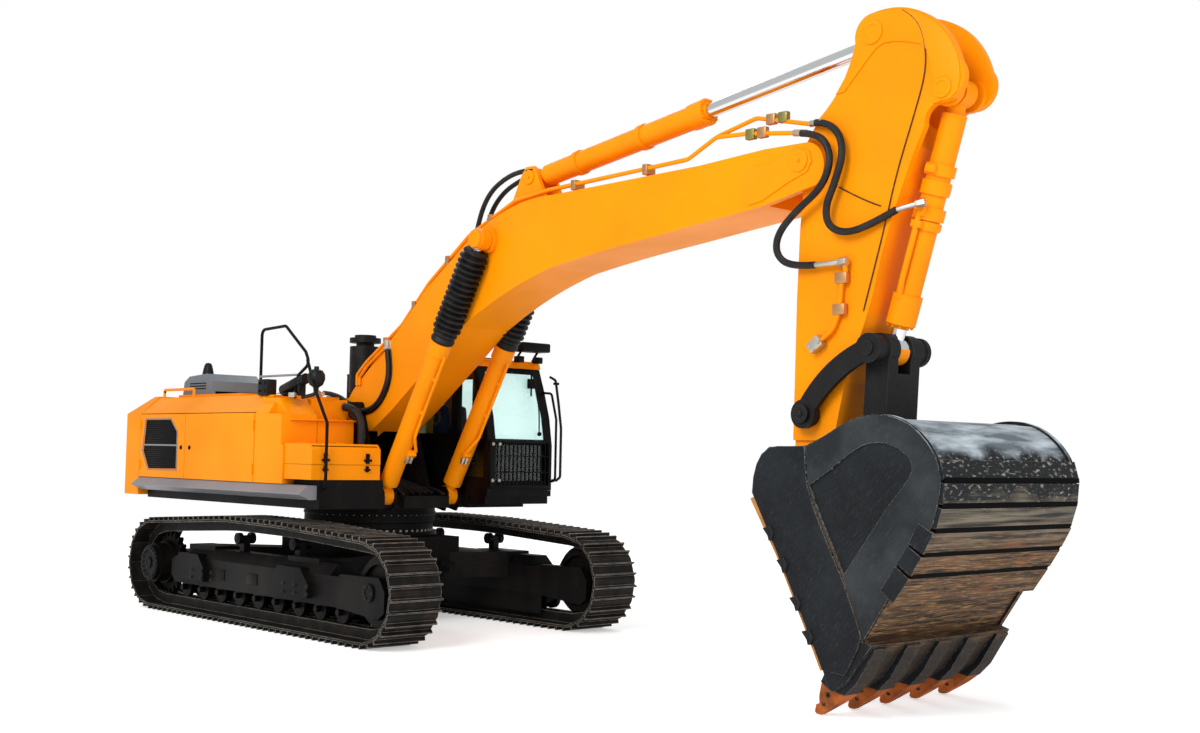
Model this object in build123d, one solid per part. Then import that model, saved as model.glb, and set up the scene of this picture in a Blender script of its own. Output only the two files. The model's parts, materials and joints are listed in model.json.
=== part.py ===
"""Crawler excavator of the 50-tonne class, with its arm hanging and its bucket resting on the ground.

Lengths are millimetres. +X is forward, +Y is the operator's left, +Z is up.
Every shape is drawn about the slew axis at ground level, and put() moves it to the origin,
which lies on the ground under the middle of the machine's box.
"""

from build123d import *
import math
import os

# ---------------------------------------------------------------- driving dimensions
ORIGIN_AHEAD = 2447.3  # from the slew axis forward to the origin

# undercarriage
TUMBLERS = 4450  # idler axle to sprocket axle
GAUGE = 2620  # between the middles of the tracks
SHOE_WIDTH = 600
SHOES = 50
AXLE_Z = 535
BELT_R = 470  # wheel centre to the inner face of the shoes
SHOE_T = 22
GROUSER_H = 43
LINK_DEPTH = 105  # shoe's inner face to the rail that the rollers run on
RAIL_Y = (52, 104)  # each chain rail, from the track's middle
CREST = [(650, 1085), (-500, 1098)]  # upper run over its carrier rollers, forward one first
ROLLER_R = 112
ROLLERS = 9
ROLLER_SPAN = 3240  # first bottom roller to last
CARRIER_R = 62
CARRIER_Z = 908
TREAD_R = 330  # radius on which the chain rails ride round the wheels
SPROCKET_TEETH = 21
MOTOR_R = 150
FRAME_TOP = 650
RUN_GAP = 8  # between the rollers and the rails
MOUNTS_X = (-1285, 870)  # where the carbody's legs meet the side frames
HITCH_X = 965
HITCH_Y = 330
HITCH_R = 45
HITCH_Z = (640, 700)

# revolving frame
SLEW_R = 740
SLEW_LOW = 1108  # underside of the revolving frame's ring
DECK = (1290, 1420)  # deck's underside and top
DECK_FRONT = 1085
SIDE_Y = 1500
LUG_Y = (322, 372)  # each boom lug
REAR_X = -2770  # where the side doors meet the counterweight
TAIL = (-3130, -3390)  # counterweight's corners, and its middle
DOOR_SPLIT_X = -1620
DOORS_END = (-50, -470)  # front edge of the doors on the right, and on the left behind the cab
BODY_LOW = 1540  # lower edge of the doors
SHOULDER_Z = 2300  # where the sides start to lean in
ROOF_Z = 2500
LEAN = 240  # how far the shoulder leans in
DOOR_T = 50
GAP = 8  # between a door and what surrounds it
HINGE_OUT = 8  # door hinge axes stand out of the side by this
HINGE_R = 12
TIERS = [(1080, 1970), (500, 2225), (360, 2455)]  # front and top of the toolbox and of the tank's steps
TANK_IN_Y = -590
LID_SEAM = 1750
SKIRT_IN = 1382
HOOD_X = (-2680, -1150)
HOOD_HALF = 1060
STACK = (-900, 480)
RAIL_Y_OUT = -1240

# cab
CAB_X = (-420, 1430)
CAB_Y = (562, 1500)
CAB_Z = (1440, 2950)
WALL = 60
GLASS_T = 8

# working equipment: pins in the X-Z plane
BOOM_FOOT = (150, 2320)
BOOM_CYL_FOOT = (880, 1420)
BOOM_CYL_PIN = (2460, 4070)
ARM_CYL_FOOT = (2850, 4700)
BOOM_TIP = (6480, 4350)
ARM_CYL_PIN = (7150, 5300)
BUCKET_CYL_FOOT = (7800, 4745)
SIDE_LINK_PIN = (6560, 2270)
LINK_TOP = (7200, 2780)
BUCKET_PIN = (6620, 1800)
BUCKET_EAR = (7160, 2080)

BOOM_HALF = 310
ARM_HALF = 235
ARM_PLATE = 60
HEAD_GAP = 130  # half the gap between the bosses in the arm's head
HEAD_BOSS_R = 128
BUCKET_HALF = 916
BUCKET_PLATE = 50
BOOM_CYL_Y = 432
BOOM_CYL_R = 103
BOOM_ROD_R = 58
ARM_CYL_R = 110
ARM_ROD_R = 65
BUCKET_CYL_R = 98
BUCKET_ROD_R = 60
BOOM_BARREL_L = 1900
ARM_BARREL_L = 2330
BUCKET_BARREL_L = 1830
PIN_R = 55
MAIN_PIN_R = 75
PIN_GAP = 0.05
EYE_R = 108
NECK = 165  # from a cylinder's foot pin to its barrel
BOOM_EYE_Y = 62  # half the width of each cylinder's eyes, here and below
ARM_CYL_EYE_Y = 85
ROD_SLOT_Y = 82  # half the gap in the bucket link that takes the rod's eye
LINK_HALF = 208
SIDE_LINK_Y = (292, 345)
EAR_Y = (217, 282)
ARM_TIP_HALF = 205
STRAP_HALF = 50

# outlines in the X-Z plane: rows of (x, z), and of (x, z, BEND) in the middle of an arc
BEND = True
BUCKET_SIDE = [(6546, 1640), (6572, 1840, BEND), (6700, 1996), (7058, 2009), (7250, 2092, BEND),
               (7453, 2192),
               (7640, 2238, BEND), (7800, 2236), (8062, 2130, BEND), (8216, 1960),
               (8262, 1810, BEND), (8250, 1660),
               (8203, 1470), (8096, 1300), (7876, 990), (7596, 570), (7456, 330), (7246, 350), (7126, 590),
               (6826, 1150)]
WRAPPER = [(6930, 1790), (7096, 1830), (7326, 1880), (7450, 2050), (7580, 2160, BEND), (7736, 2214),
           (7906, 2196),
           (8070, 2098, BEND), (8192, 1950), (8240, 1800, BEND), (8230, 1660), (8180, 1480),
           (8076, 1310), (7856, 1000), (7576, 580), (7366, 250)]
# where one wear strap ends and the next starts, from the top down
STRAP_GAPS = [(8212, 1930), (8256, 1771), (8240, 1600), (8186, 1432), (8092, 1262), (7990, 1105),
              (7846, 905)]
STRAP_GAP = 26
STRAP_PROUD = 30
STRAP_ENDS = 3  # how many of the lowest straps wrap onto the sides
TOOTH_Y = [-806 + k * 403 for k in range(5)]
# where a tooth meets its adapter
TOOTH_LINE = [(7203, 262), (7289, 207), (7425, 186)]


# ---------------------------------------------------------------- helpers
def prism(points, y0, y1, radius=0):
    """A plate with an outline in the X-Z plane, from y0 to y1. Its corners get the radius."""
    spots = [(row[0], y0, row[1]) for row in points]
    if radius:
        line = FilletPolyline(*spots, radius=radius, close=True)
    elif any(BEND in row[2:] for row in points):
        line = arcs_and_lines(points, spots)
    else:
        line = Polyline(*spots, close=True)
    return extrude(make_face(line), amount=y1 - y0, dir=(0, 1, 0))


def arcs_and_lines(rows, spots):
    """The closed line through the spots, by an arc through each one that its row marks as a bend."""
    count = len(spots)
    edges = []
    for i in range(count):
        after = (i + 1) % count
        if BEND in rows[i][2:]:
            continue
        if BEND in rows[after][2:]:
            edges.append(ThreePointArc(spots[i], spots[after], spots[(i + 2) % count]))
        else:
            edges.append(Line(spots[i], spots[after]))
    return Wire(edges)


def slab(points, z0, z1):
    """A plate with an outline in the X-Y plane, from z0 to z1."""
    return extrude(make_face(Polyline(*[(x, y, z0) for x, y in points], close=True)), amount=z1 - z0)


def block(x0, x1, y0, y1, z0, z1):
    """An upright box between six limits."""
    return Pos((x0 + x1) / 2, (y0 + y1) / 2, (z0 + z1) / 2) * Box(x1 - x0, y1 - y0, z1 - z0)


def axle(spot, r, y0, y1):
    """A round bar along Y about a spot in the X-Z plane."""
    x, z = spot
    return Pos(x, (y0 + y1) / 2, z) * Rot(90, 0, 0) * Cylinder(r, y1 - y0)


def rod(a, b, r, start=0, end=None):
    """A round bar along the line from a to b, both (x, y, z), between two distances from a."""
    a, b = Vector(*a), Vector(*b)
    way = (b - a).normalized()
    end = (b - a).length if end is None else end
    plane = Plane(origin=a + way * start, z_dir=way)
    return extrude(plane * Circle(r), amount=end - start)


def bent_tube(points, r, bend):
    """A round tube along straight runs joined by bends of one radius."""
    path = FilletPolyline(*points, radius=bend)
    return sweep(Plane(origin=path @ 0, z_dir=path % 0) * Circle(r), path=path)


def both(maker):
    """What maker builds on the right, and on the left."""
    return [maker(-1), maker(1)]


def span(y0, y1, side=1):
    """Two distances from the middle plane, as (low, high) Y on one side."""
    return tuple(sorted((side * y0, side * y1)))


def skin(outline, x0, x1):
    """A bar along X with an outline in the Y-Z plane."""
    face = make_face(Polyline(*[(x0, y, z) for y, z in outline], close=True))
    return extrude(face, amount=x1 - x0, dir=(1, 0, 0))


def joined(shapes):
    """One solid from many that touch."""
    first, *rest = [s for s in shapes]
    return first.fuse(*rest) if rest else first


def put(name, *shapes):
    """Writes the shapes as one node, moved to the origin."""
    solids = [s for shape in shapes for s in shape.solids()]
    export_step(Compound(children=[s.moved(Location((-ORIGIN_AHEAD, 0, 0))) for s in solids]),
                f"parts/{name}.step")


# ---------------------------------------------------------------- tracks
def belt_path():
    """Points close together along the inner face of the shoes, anticlockwise from the rear low point."""
    half = TUMBLERS / 2
    spots = [(-half, AXLE_Z - BELT_R), (half, AXLE_Z - BELT_R)]
    spots += [(half + BELT_R * math.sin(math.radians(t)), AXLE_Z - BELT_R * math.cos(math.radians(t)))
              for t in range(10, 181, 10)]
    spots += CREST
    spots += [(-half - BELT_R * math.sin(math.radians(t)), AXLE_Z + BELT_R * math.cos(math.radians(t)))
              for t in range(0, 171, 10)]
    return spots


def belt_joints():
    """Where neighbouring shoes meet: equal steps along the belt."""
    spots = belt_path()
    spots.append(spots[0])
    lengths = [math.dist(a, b) for a, b in zip(spots, spots[1:])]
    step = sum(lengths) / SHOES
    joints = []
    run, i = 0.0, 0
    for k in range(SHOES):
        while run + lengths[i] < k * step - 1e-6:
            run += lengths[i]
            i += 1
        share = (k * step - run) / lengths[i]
        (ax, az), (bx, bz) = spots[i], spots[i + 1]
        joints.append((ax + (bx - ax) * share, az + (bz - az) * share))
    return joints


def offset_point(a, b, share, out):
    """A point on a shoe from joint a to joint b, at a share of its length and a height outwards."""
    length = math.dist(a, b)
    tx, tz = (b[0] - a[0]) / length, (b[1] - a[1]) / length
    return (a[0] + tx * length * share + tz * out, a[1] + tz * length * share - tx * out)


def track(side):
    """One fixed loop: shoes with two grousers each, on the two rails of their chain."""
    middle = side * GAUGE / 2
    joints = belt_joints()
    pairs = list(zip(joints, joints[1:] + joints[:1]))
    # share of the shoe's length, height: across one shoe with its two grousers
    section = [(0.03, 0), (0.19, 0), (0.22, GROUSER_H), (0.28, GROUSER_H), (0.31, 0),
               (0.69, 0), (0.72, GROUSER_H), (0.78, GROUSER_H), (0.81, 0), (0.97, 0)]
    outline = [offset_point(a, b, share, SHOE_T + up) for a, b in pairs for share, up in section]
    shoes = prism(outline, middle - SHOE_WIDTH / 2, middle + SHOE_WIDTH / 2)
    shoes -= prism(joints, middle - SHOE_WIDTH, middle + SHOE_WIDTH)
    outer = [offset_point(a, b, 0.5, 4) for a, b in pairs]
    inner = [offset_point(a, b, 0.5, -LINK_DEPTH) for a, b in pairs]
    rails = []
    for hand in (-1, 1):
        y0, y1 = sorted((middle + hand * RAIL_Y[0], middle + hand * RAIL_Y[1]))
        rails.append(prism(outer, y0, y1) - prism(inner, y0 - 50, y1 + 50))
    return joined([shoes, *rails])


def track_frame(side):
    """Side frame: a beam over the rollers, its mounts, carrier posts and the idler's housing."""
    middle = side * GAUGE / 2
    beam = prism([(-1830, 600), (-1720, FRAME_TOP), (1700, FRAME_TOP), (1835, 600), (1835, 430),
                  (1760, 345),
                  (-1740, 345), (-1830, 430)], middle - 190, middle + 190)
    beam -= block(-1900, 1900, middle - 165, middle + 165, 300, 418)
    ridge = skin([(middle - 185, 645), (middle + 185, 645), (middle + 80, 760), (middle - 80, 760)], -1500,
                 1500)
    parts = [beam, ridge]
    for hand in (-1, 1):
        y0, y1 = span(145, 205, hand)
        parts.append(prism([(1700, 680), (2380, 690), (2480, 560), (2480, 360), (2380, 290), (1700, 345)],
                           middle + y0, middle + y1, 30))
    y0, y1 = span(GAUGE / 2 - 190, GAUGE / 2 - 110, side)
    drive_plate = prism([(-2330, 700), (-1700, 640), (-1700, 400), (-2330, 380)], y0, y1)
    parts.append(drive_plate - axle((-TUMBLERS / 2, AXLE_Z), MOTOR_R + 1, y0 - 10, y1 + 10))
    for x in MOUNTS_X:
        y0, y1 = span(GAUGE / 2 + 150, GAUGE / 2 + 262, side)
        parts.append(prism([(x - 330, 600), (x - 240, 700), (x + 190, 700), (x + 330, 560), (x + 330, 400),
                            (x - 330, 400)], y0, y1))
        y0, y1 = span(GAUGE / 2 - 190, GAUGE / 2 + 100, side)
        parts.append(block(x - 300, x + 300, y0, y1, 640, 790))
    for x, _ in CREST:
        parts.append(block(x - 45, x + 45, middle - 40, middle + 40, 700, CARRIER_Z + 25))
        parts.append(axle((x, CARRIER_Z), 34, middle - 110, middle + 110))
    return joined(parts)


def wheels():
    """Idlers in front, and behind them sprockets with their hubs and motors."""
    half = TUMBLERS / 2
    idlers, drives = [], []
    for side in (-1, 1):
        middle = side * GAUGE / 2
        idler = axle((half, AXLE_Z), TREAD_R, middle - 100, middle + 100)
        idler = idler.fuse(axle((half, AXLE_Z), TREAD_R + 45, middle - 44, middle + 44))
        for hand in (-1, 1):
            y0, y1 = span(60, 120, hand)
            idler -= axle((half, AXLE_Z), TREAD_R - 60, middle + y0, middle + y1)
        idlers.append(idler.fuse(axle((half, AXLE_Z), 90, middle - 140, middle + 140)))
        # turn from the tooth's middle in steps of a tooth, and radius
        tooth = [(-0.32, TREAD_R - 20), (-0.14, TREAD_R + 45), (0.14, TREAD_R + 45), (0.32, TREAD_R - 20)]
        ring = []
        for k in range(SPROCKET_TEETH):
            for turn, r in tooth:
                a = 2 * math.pi * (k + turn) / SPROCKET_TEETH
                ring.append((-half + r * math.cos(a), AXLE_Z + r * math.sin(a)))
        drive = prism(ring, middle - 32, middle + 32)
        # distance outwards from the track's middle where each drum starts and ends, and its radius
        for y_in, y_out, r in ((-95, 95, 250), (94, 225, 225), (224, 280, 205), (-330, -94, MOTOR_R)):
            y0, y1 = span(GAUGE / 2 + y_in, GAUGE / 2 + y_out, side)
            drive = drive.fuse(axle((-half, AXLE_Z), r, y0, y1))
        drives.append(drive)
    return idlers, drives


def rollers():
    """Bottom rollers on their shafts, and carrier rollers: drums with a tread on either rail."""
    made = []
    z = AXLE_Z - BELT_R + LINK_DEPTH + ROLLER_R + RUN_GAP
    for side in (-1, 1):
        middle = side * GAUGE / 2
        for k in range(ROLLERS):
            x = -ROLLER_SPAN / 2 + k * ROLLER_SPAN / (ROLLERS - 1)
            drums = [axle((x, z), ROLLER_R - 30, middle - 105, middle + 105),
                     axle((x, z), 32, middle - 164, middle + 164)]
            drums += [axle((x, z), ROLLER_R, middle + hand * 78 - 25,
                           middle + hand * 78 + 25) for hand in (-1, 1)]
            made.append(joined(drums))
        for x, _ in CREST:
            for hand in (-1, 1):
                y0, y1 = span(50, 104, hand)
                made.append(axle((x, CARRIER_Z), CARRIER_R, middle + y0, middle + y1)
                            - axle((x, CARRIER_Z), 34 + PIN_GAP, middle - 120, middle + 120))
    return made


def carbody():
    """Centre frame with four splayed legs that reach the side frames, the slew ring and hitches."""
    reach = GAUGE / 2 - 190
    parts = [Pos(0, 0, 860) * Cylinder(760, 300), block(-900, 900, -600, 600, 560, 960),
             Pos(0, 0, 1050) * Cylinder(SLEW_R - 20, 100)]
    for fore, mount_x in zip((-1, 1), MOUNTS_X):
        for side in (-1, 1):
            parts.append(slab([(fore * 250, side * 420), (fore * 880, side * 420),
                               (mount_x + fore * 280, side * reach),
                               (mount_x - fore * 280, side * reach)], 500, 785))
    for fore in (-1, 1):
        for side in (-1, 1):
            x0, x1 = span(850, HITCH_X + 95, fore)
            eye = block(x0, x1, side * HITCH_Y - 95, side * HITCH_Y + 95, *HITCH_Z)
            parts.append(eye - Pos(fore * HITCH_X, side * HITCH_Y, HITCH_Z[0]) * Cylinder(HITCH_R, 300))
    return joined(parts)


# ---------------------------------------------------------------- revolving frame and body
def main_frame():
    """Deck on its slew ring, the boom's lugs and foot pin, and brackets for the boom cylinders."""
    base = Pos(0, 0, (SLEW_LOW + DECK[0] + 5) / 2) * Cylinder(SLEW_R, DECK[0] + 5 - SLEW_LOW)
    deck = block(REAR_X + 20, DECK_FRONT, -1380, 1380, *DECK)
    front_beam = block(600, DECK_FRONT, 2 - SKIRT_IN, TANK_IN_Y, DECK[1], 1592)
    lugs = []
    fx, fz = BOOM_FOOT
    cx, cz = BOOM_CYL_FOOT
    for side in (-1, 1):
        y0, y1 = span(*LUG_Y, side)
        lugs.append(prism([(-1350, 1410), (700, 1410), (620, 1560), (fx + 200, fz - 80),
                           (fx + 130, fz + 130),
                           (fx - 130, fz + 130), (fx - 260, fz - 120), (-1350, 1560)], y0, y1, 40))
        for offset in (-82, 82):
            y = side * BOOM_CYL_Y + offset
            lugs.append(prism([(cx - 190, 1300), (cx - 120, cz + 60), (cx - 60, cz + 105),
                               (cx + 60, cz + 105),
                               (cx + 115, cz + 40), (cx + 115, cz - 60), (cx + 60, 1250)], y - 15, y + 15))
    web = block(-700, -620, -LUG_Y[0] - 10, LUG_Y[0] + 10, 1410, 1700)
    frame = joined([base, deck, front_beam, *lugs, web])
    for side in (-1, 1):
        y0, y1 = span(BOOM_CYL_Y - 66, BOOM_CYL_Y + 66, side)
        frame -= axle(BOOM_CYL_FOOT, EYE_R + 12, y0, y1)
        frame -= block(cx + 60, 1400, y0, y1, 1200, 1600)
        y0, y1 = span(BOOM_CYL_Y - 130, BOOM_CYL_Y + 128, side)
        frame -= block(cx + 120, 1400, y0, y1, 1200, 1620)
    pins = [axle(BOOM_FOOT, MAIN_PIN_R, -LUG_Y[1] - 25, LUG_Y[1] + 25)]
    for side in (-1, 1):
        pins.append(axle(BOOM_CYL_FOOT, PIN_R, side * BOOM_CYL_Y - 112, side * BOOM_CYL_Y + 112))
    return joined([frame, *pins])


def counterweight():
    """A cast block whose back follows the tail swing, with a leaning upper edge."""
    def plan(inset, z):
        y = SIDE_Y - inset
        corner, middle = TAIL[0] + inset, TAIL[1] + inset
        sides = Polyline((corner, -y, z), (REAR_X, -y, z), (REAR_X, y, z), (corner, y, z))
        return make_face(sides + ThreePointArc((corner, y, z), (middle, 0, z), (corner, -y, z)))
    weight = extrude(plan(0, 1320), amount=SHOULDER_Z - 1320)
    weight = weight.fuse(loft([plan(0, SHOULDER_Z), plan(LEAN, ROOF_Z + 20)]))
    return weight


def doors():
    """Two hinged doors a side; the rear ones hold a grille."""
    made = {}
    for side, hand, front in ((-1, "right", DOORS_END[0]), (1, "left", DOORS_END[1])):
        # name, from x, to x, hinge's x, has a grille
        table = [("rear", REAR_X + GAP, DOOR_SPLIT_X - GAP / 2, REAR_X + GAP + 14, True),
                 ("mid", DOOR_SPLIT_X + GAP / 2, front - GAP, front - GAP - 14, False)]
        for name, x0, x1, hinge_x, grille in table:
            y0, y1 = span(SIDE_Y - DOOR_T, SIDE_Y, side)
            door = block(x0, x1, y0, y1, BODY_LOW, SHOULDER_Z - GAP)
            if grille:
                hole = [(x0 + 95, 1850), (x0 + 240, 1640), (x1 - 185, 1650), (x1 - 190, 2080),
                        (x1 - 350, 2225),
                        (x0 + 150, 2225)]
                door -= prism(hole, y0 - 10, y1 + 10)
                # bars: each one's z
                bars = [prism(hole, y0 + 12, y1 - 12) & block(x0, x1, y0 - 5, y1 + 5, z, z + 30)
                        for z in (1680, 1800, 1925, 2050, 2160)]
                inside = [(x + (30 if x < x0 + 600 else -30), z + (30 if z < 1900 else -30)) for x, z in hole]
                rim = prism(hole, y0 + 14, y1 - 14) - prism(inside, y0, y1)
                door = joined([door, rim, *bars])
            hinge_y = side * (SIDE_Y + HINGE_OUT)
            knuckles = [Pos(hinge_x, hinge_y, z) * Cylinder(HINGE_R, 110) for z in (1680, 2160)]
            made[f"{hand}_{name}_door"] = joined([door, *knuckles])
    return made


def hood_panels():
    """Fixed skin over the engine bay: leaning edges, roof strips and the front bulkheads."""
    parts = []
    for side, front in ((-1, DOORS_END[0]), (1, DOORS_END[1])):
        y = side * SIDE_Y
        outline = [(y, SHOULDER_Z), (y - side * LEAN, ROOF_Z), (side * HOOD_HALF, ROOF_Z),
                   (side * HOOD_HALF, ROOF_Z - 50), (y - side * (LEAN + 20), ROOF_Z - 50),
                   (y - side * 60, SHOULDER_Z)]
        parts.append(skin(outline, REAR_X + GAP, front))
        y0, y1 = span(430, SKIRT_IN - 2, side)
        parts.append(block(front - 45, front, y0, y1, DECK[1], ROOF_Z - 30))
        y0, y1 = span(430, HOOD_HALF + 5, side)
        parts.append(block(HOOD_X[1] + GAP, front, y0, y1, ROOF_Z - 50, ROOF_Z))
    parts.append(block(REAR_X + GAP, HOOD_X[0] - GAP, -HOOD_HALF - 5, HOOD_HALF + 5, ROOF_Z - 50, ROOF_Z))
    parts.append(block(HOOD_X[1] + GAP, -390, -435, 435, ROOF_Z - 50, ROOF_Z))
    return joined(parts)


def engine_hood():
    """Hinged lid over the engine, with its raised vent box on the right."""
    x0, x1 = HOOD_X
    lid = block(x0, x1, -HOOD_HALF + GAP, HOOD_HALF - GAP, ROOF_Z - 40, ROOF_Z + 45)
    vent = prism([(-2650, ROOF_Z + 40), (-2620, 2700), (-2500, 2765), (-2080, 2790), (-1960, 2700),
                  (-1940, ROOF_Z + 40)],
                 -1000, -330)
    knuckles = [Pos(x0, y, ROOF_Z + 45) * Rot(90, 0, 0) * Cylinder(HINGE_R, 160) for y in (-700, 700)]
    return joined([lid, vent, *knuckles])


def right_steps():
    """Fuel tank outside and hydraulic tank inside, which rise in two steps behind the toolbox."""
    x0 = DOORS_END[0] + GAP
    (_, box_top), (front, low_top), (upper_front, high_top) = TIERS
    side = prism([(x0, BODY_LOW), (550, BODY_LOW), (550, box_top - 25), (front, box_top - 10),
                  (front, low_top),
                  (500 - 10, SHOULDER_Z - 20), (x0, SHOULDER_Z - 10)], -SIDE_Y, -1060)
    upper = prism([(x0, SHOULDER_Z - 20), (480, SHOULDER_Z - 20), (upper_front - 80, high_top),
                   (x0, high_top)],
                  -1400, -1060)
    lean = skin([(-SIDE_Y, SHOULDER_Z - 12), (-1399, SHOULDER_Z - 12), (-1399, high_top - 60),
                 (-1430, high_top - 60)], x0,
                230)
    inner = prism([(x0, DECK[1]), (front, DECK[1]), (front, low_top), (upper_front, low_top + 5),
                   (upper_front, high_top), (x0, high_top)], -1060 + GAP, TANK_IN_Y)
    inner -= block(upper_front, 700, -800, -500, 1595, 1900)
    return joined([side, upper, lean]), inner


def toolbox():
    """Hollow box in front of the tank, and its hinged lid."""
    front, top = TIERS[0]
    x0, y0, y1, z0 = 556, -1482, -630, 1594
    wall = 22
    body = block(x0, front, y0, y1, z0, LID_SEAM)
    body -= block(x0 + wall, front - wall, y0 + wall, y1 - wall, z0 + wall, 2100)
    lid = prism([(x0, LID_SEAM + 4), (front + 6, LID_SEAM + 4), (front + 2, top - 55), (front - 55, top),
                 (x0, top)],
                y0, y1)
    lid -= block(x0 + wall, front - wall, y0 + wall, y1 - wall, 1600, top - wall)
    knuckles = [Pos(x0 + 14, y, top + 4) * Rot(90, 0, 0) * Cylinder(HINGE_R, 120) for y in (-1300, -800)]
    return body, joined([lid, *knuckles])


def skirts():
    """Bumper rails under the sides, which slope outwards and down."""
    def one(side):
        outline = [(side * (SIDE_Y - 10), BODY_LOW - 6), (side * 1590, 1452), (side * 1590, 1440),
                   (side * 1470, 1385),
                   (side * SKIRT_IN, 1385), (side * SKIRT_IN, BODY_LOW - 6)]
        return skin(outline, REAR_X + 4, 1040 if side < 0 else CAB_X[0] - GAP)
    return both(one)


def intake_stack():
    """Air pre-cleaner: a drum under a mushroom cap, on its pipe."""
    x, y = STACK
    return joined([Pos(x, y, z) * Cylinder(r, h) for z, h, r in (
        (2565, 130, 120), (2890, 560, 185), (3190, 60, 110), (3245, 60, 190), (3290, 40, 130))])


def handrails():
    """Guard loop on the tank's top, the pole down to the toolbox, and grab rails."""
    r = 17
    loop = bent_tube([(-400, RAIL_Y_OUT, ROOF_Z), (-400, RAIL_Y_OUT, 3230), (100, RAIL_Y_OUT, 3250),
                      (520, RAIL_Y_OUT, 2950), (600, RAIL_Y_OUT, 2820), (380, RAIL_Y_OUT, 2700),
                      (330, RAIL_Y_OUT, TIERS[2][1])], r, 70)
    pole = bent_tube([(600, RAIL_Y_OUT - 26, 2860), (900, -1360, 2560), (1165, -1360, 2180),
                      (1165, -1360, 1500),
                      (DECK_FRONT + 1, -1360, 1500)], r, 45)
    rear = bent_tube([(-2700, -1230, ROOF_Z), (-2700, -1230, 2600), (-1950, -1230, 2600),
                      (-1950, -1230, ROOF_Z)],
                     14, 50)
    door_rail = bent_tube([(1292, 1470, 2610), (1440, 1470, 2600), (1530, 1470, 2300), (1530, 1470, 1600),
                           (1432, 1470, 1590)], 14, 50)
    return [loop, pole, rear, door_rail]


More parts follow.
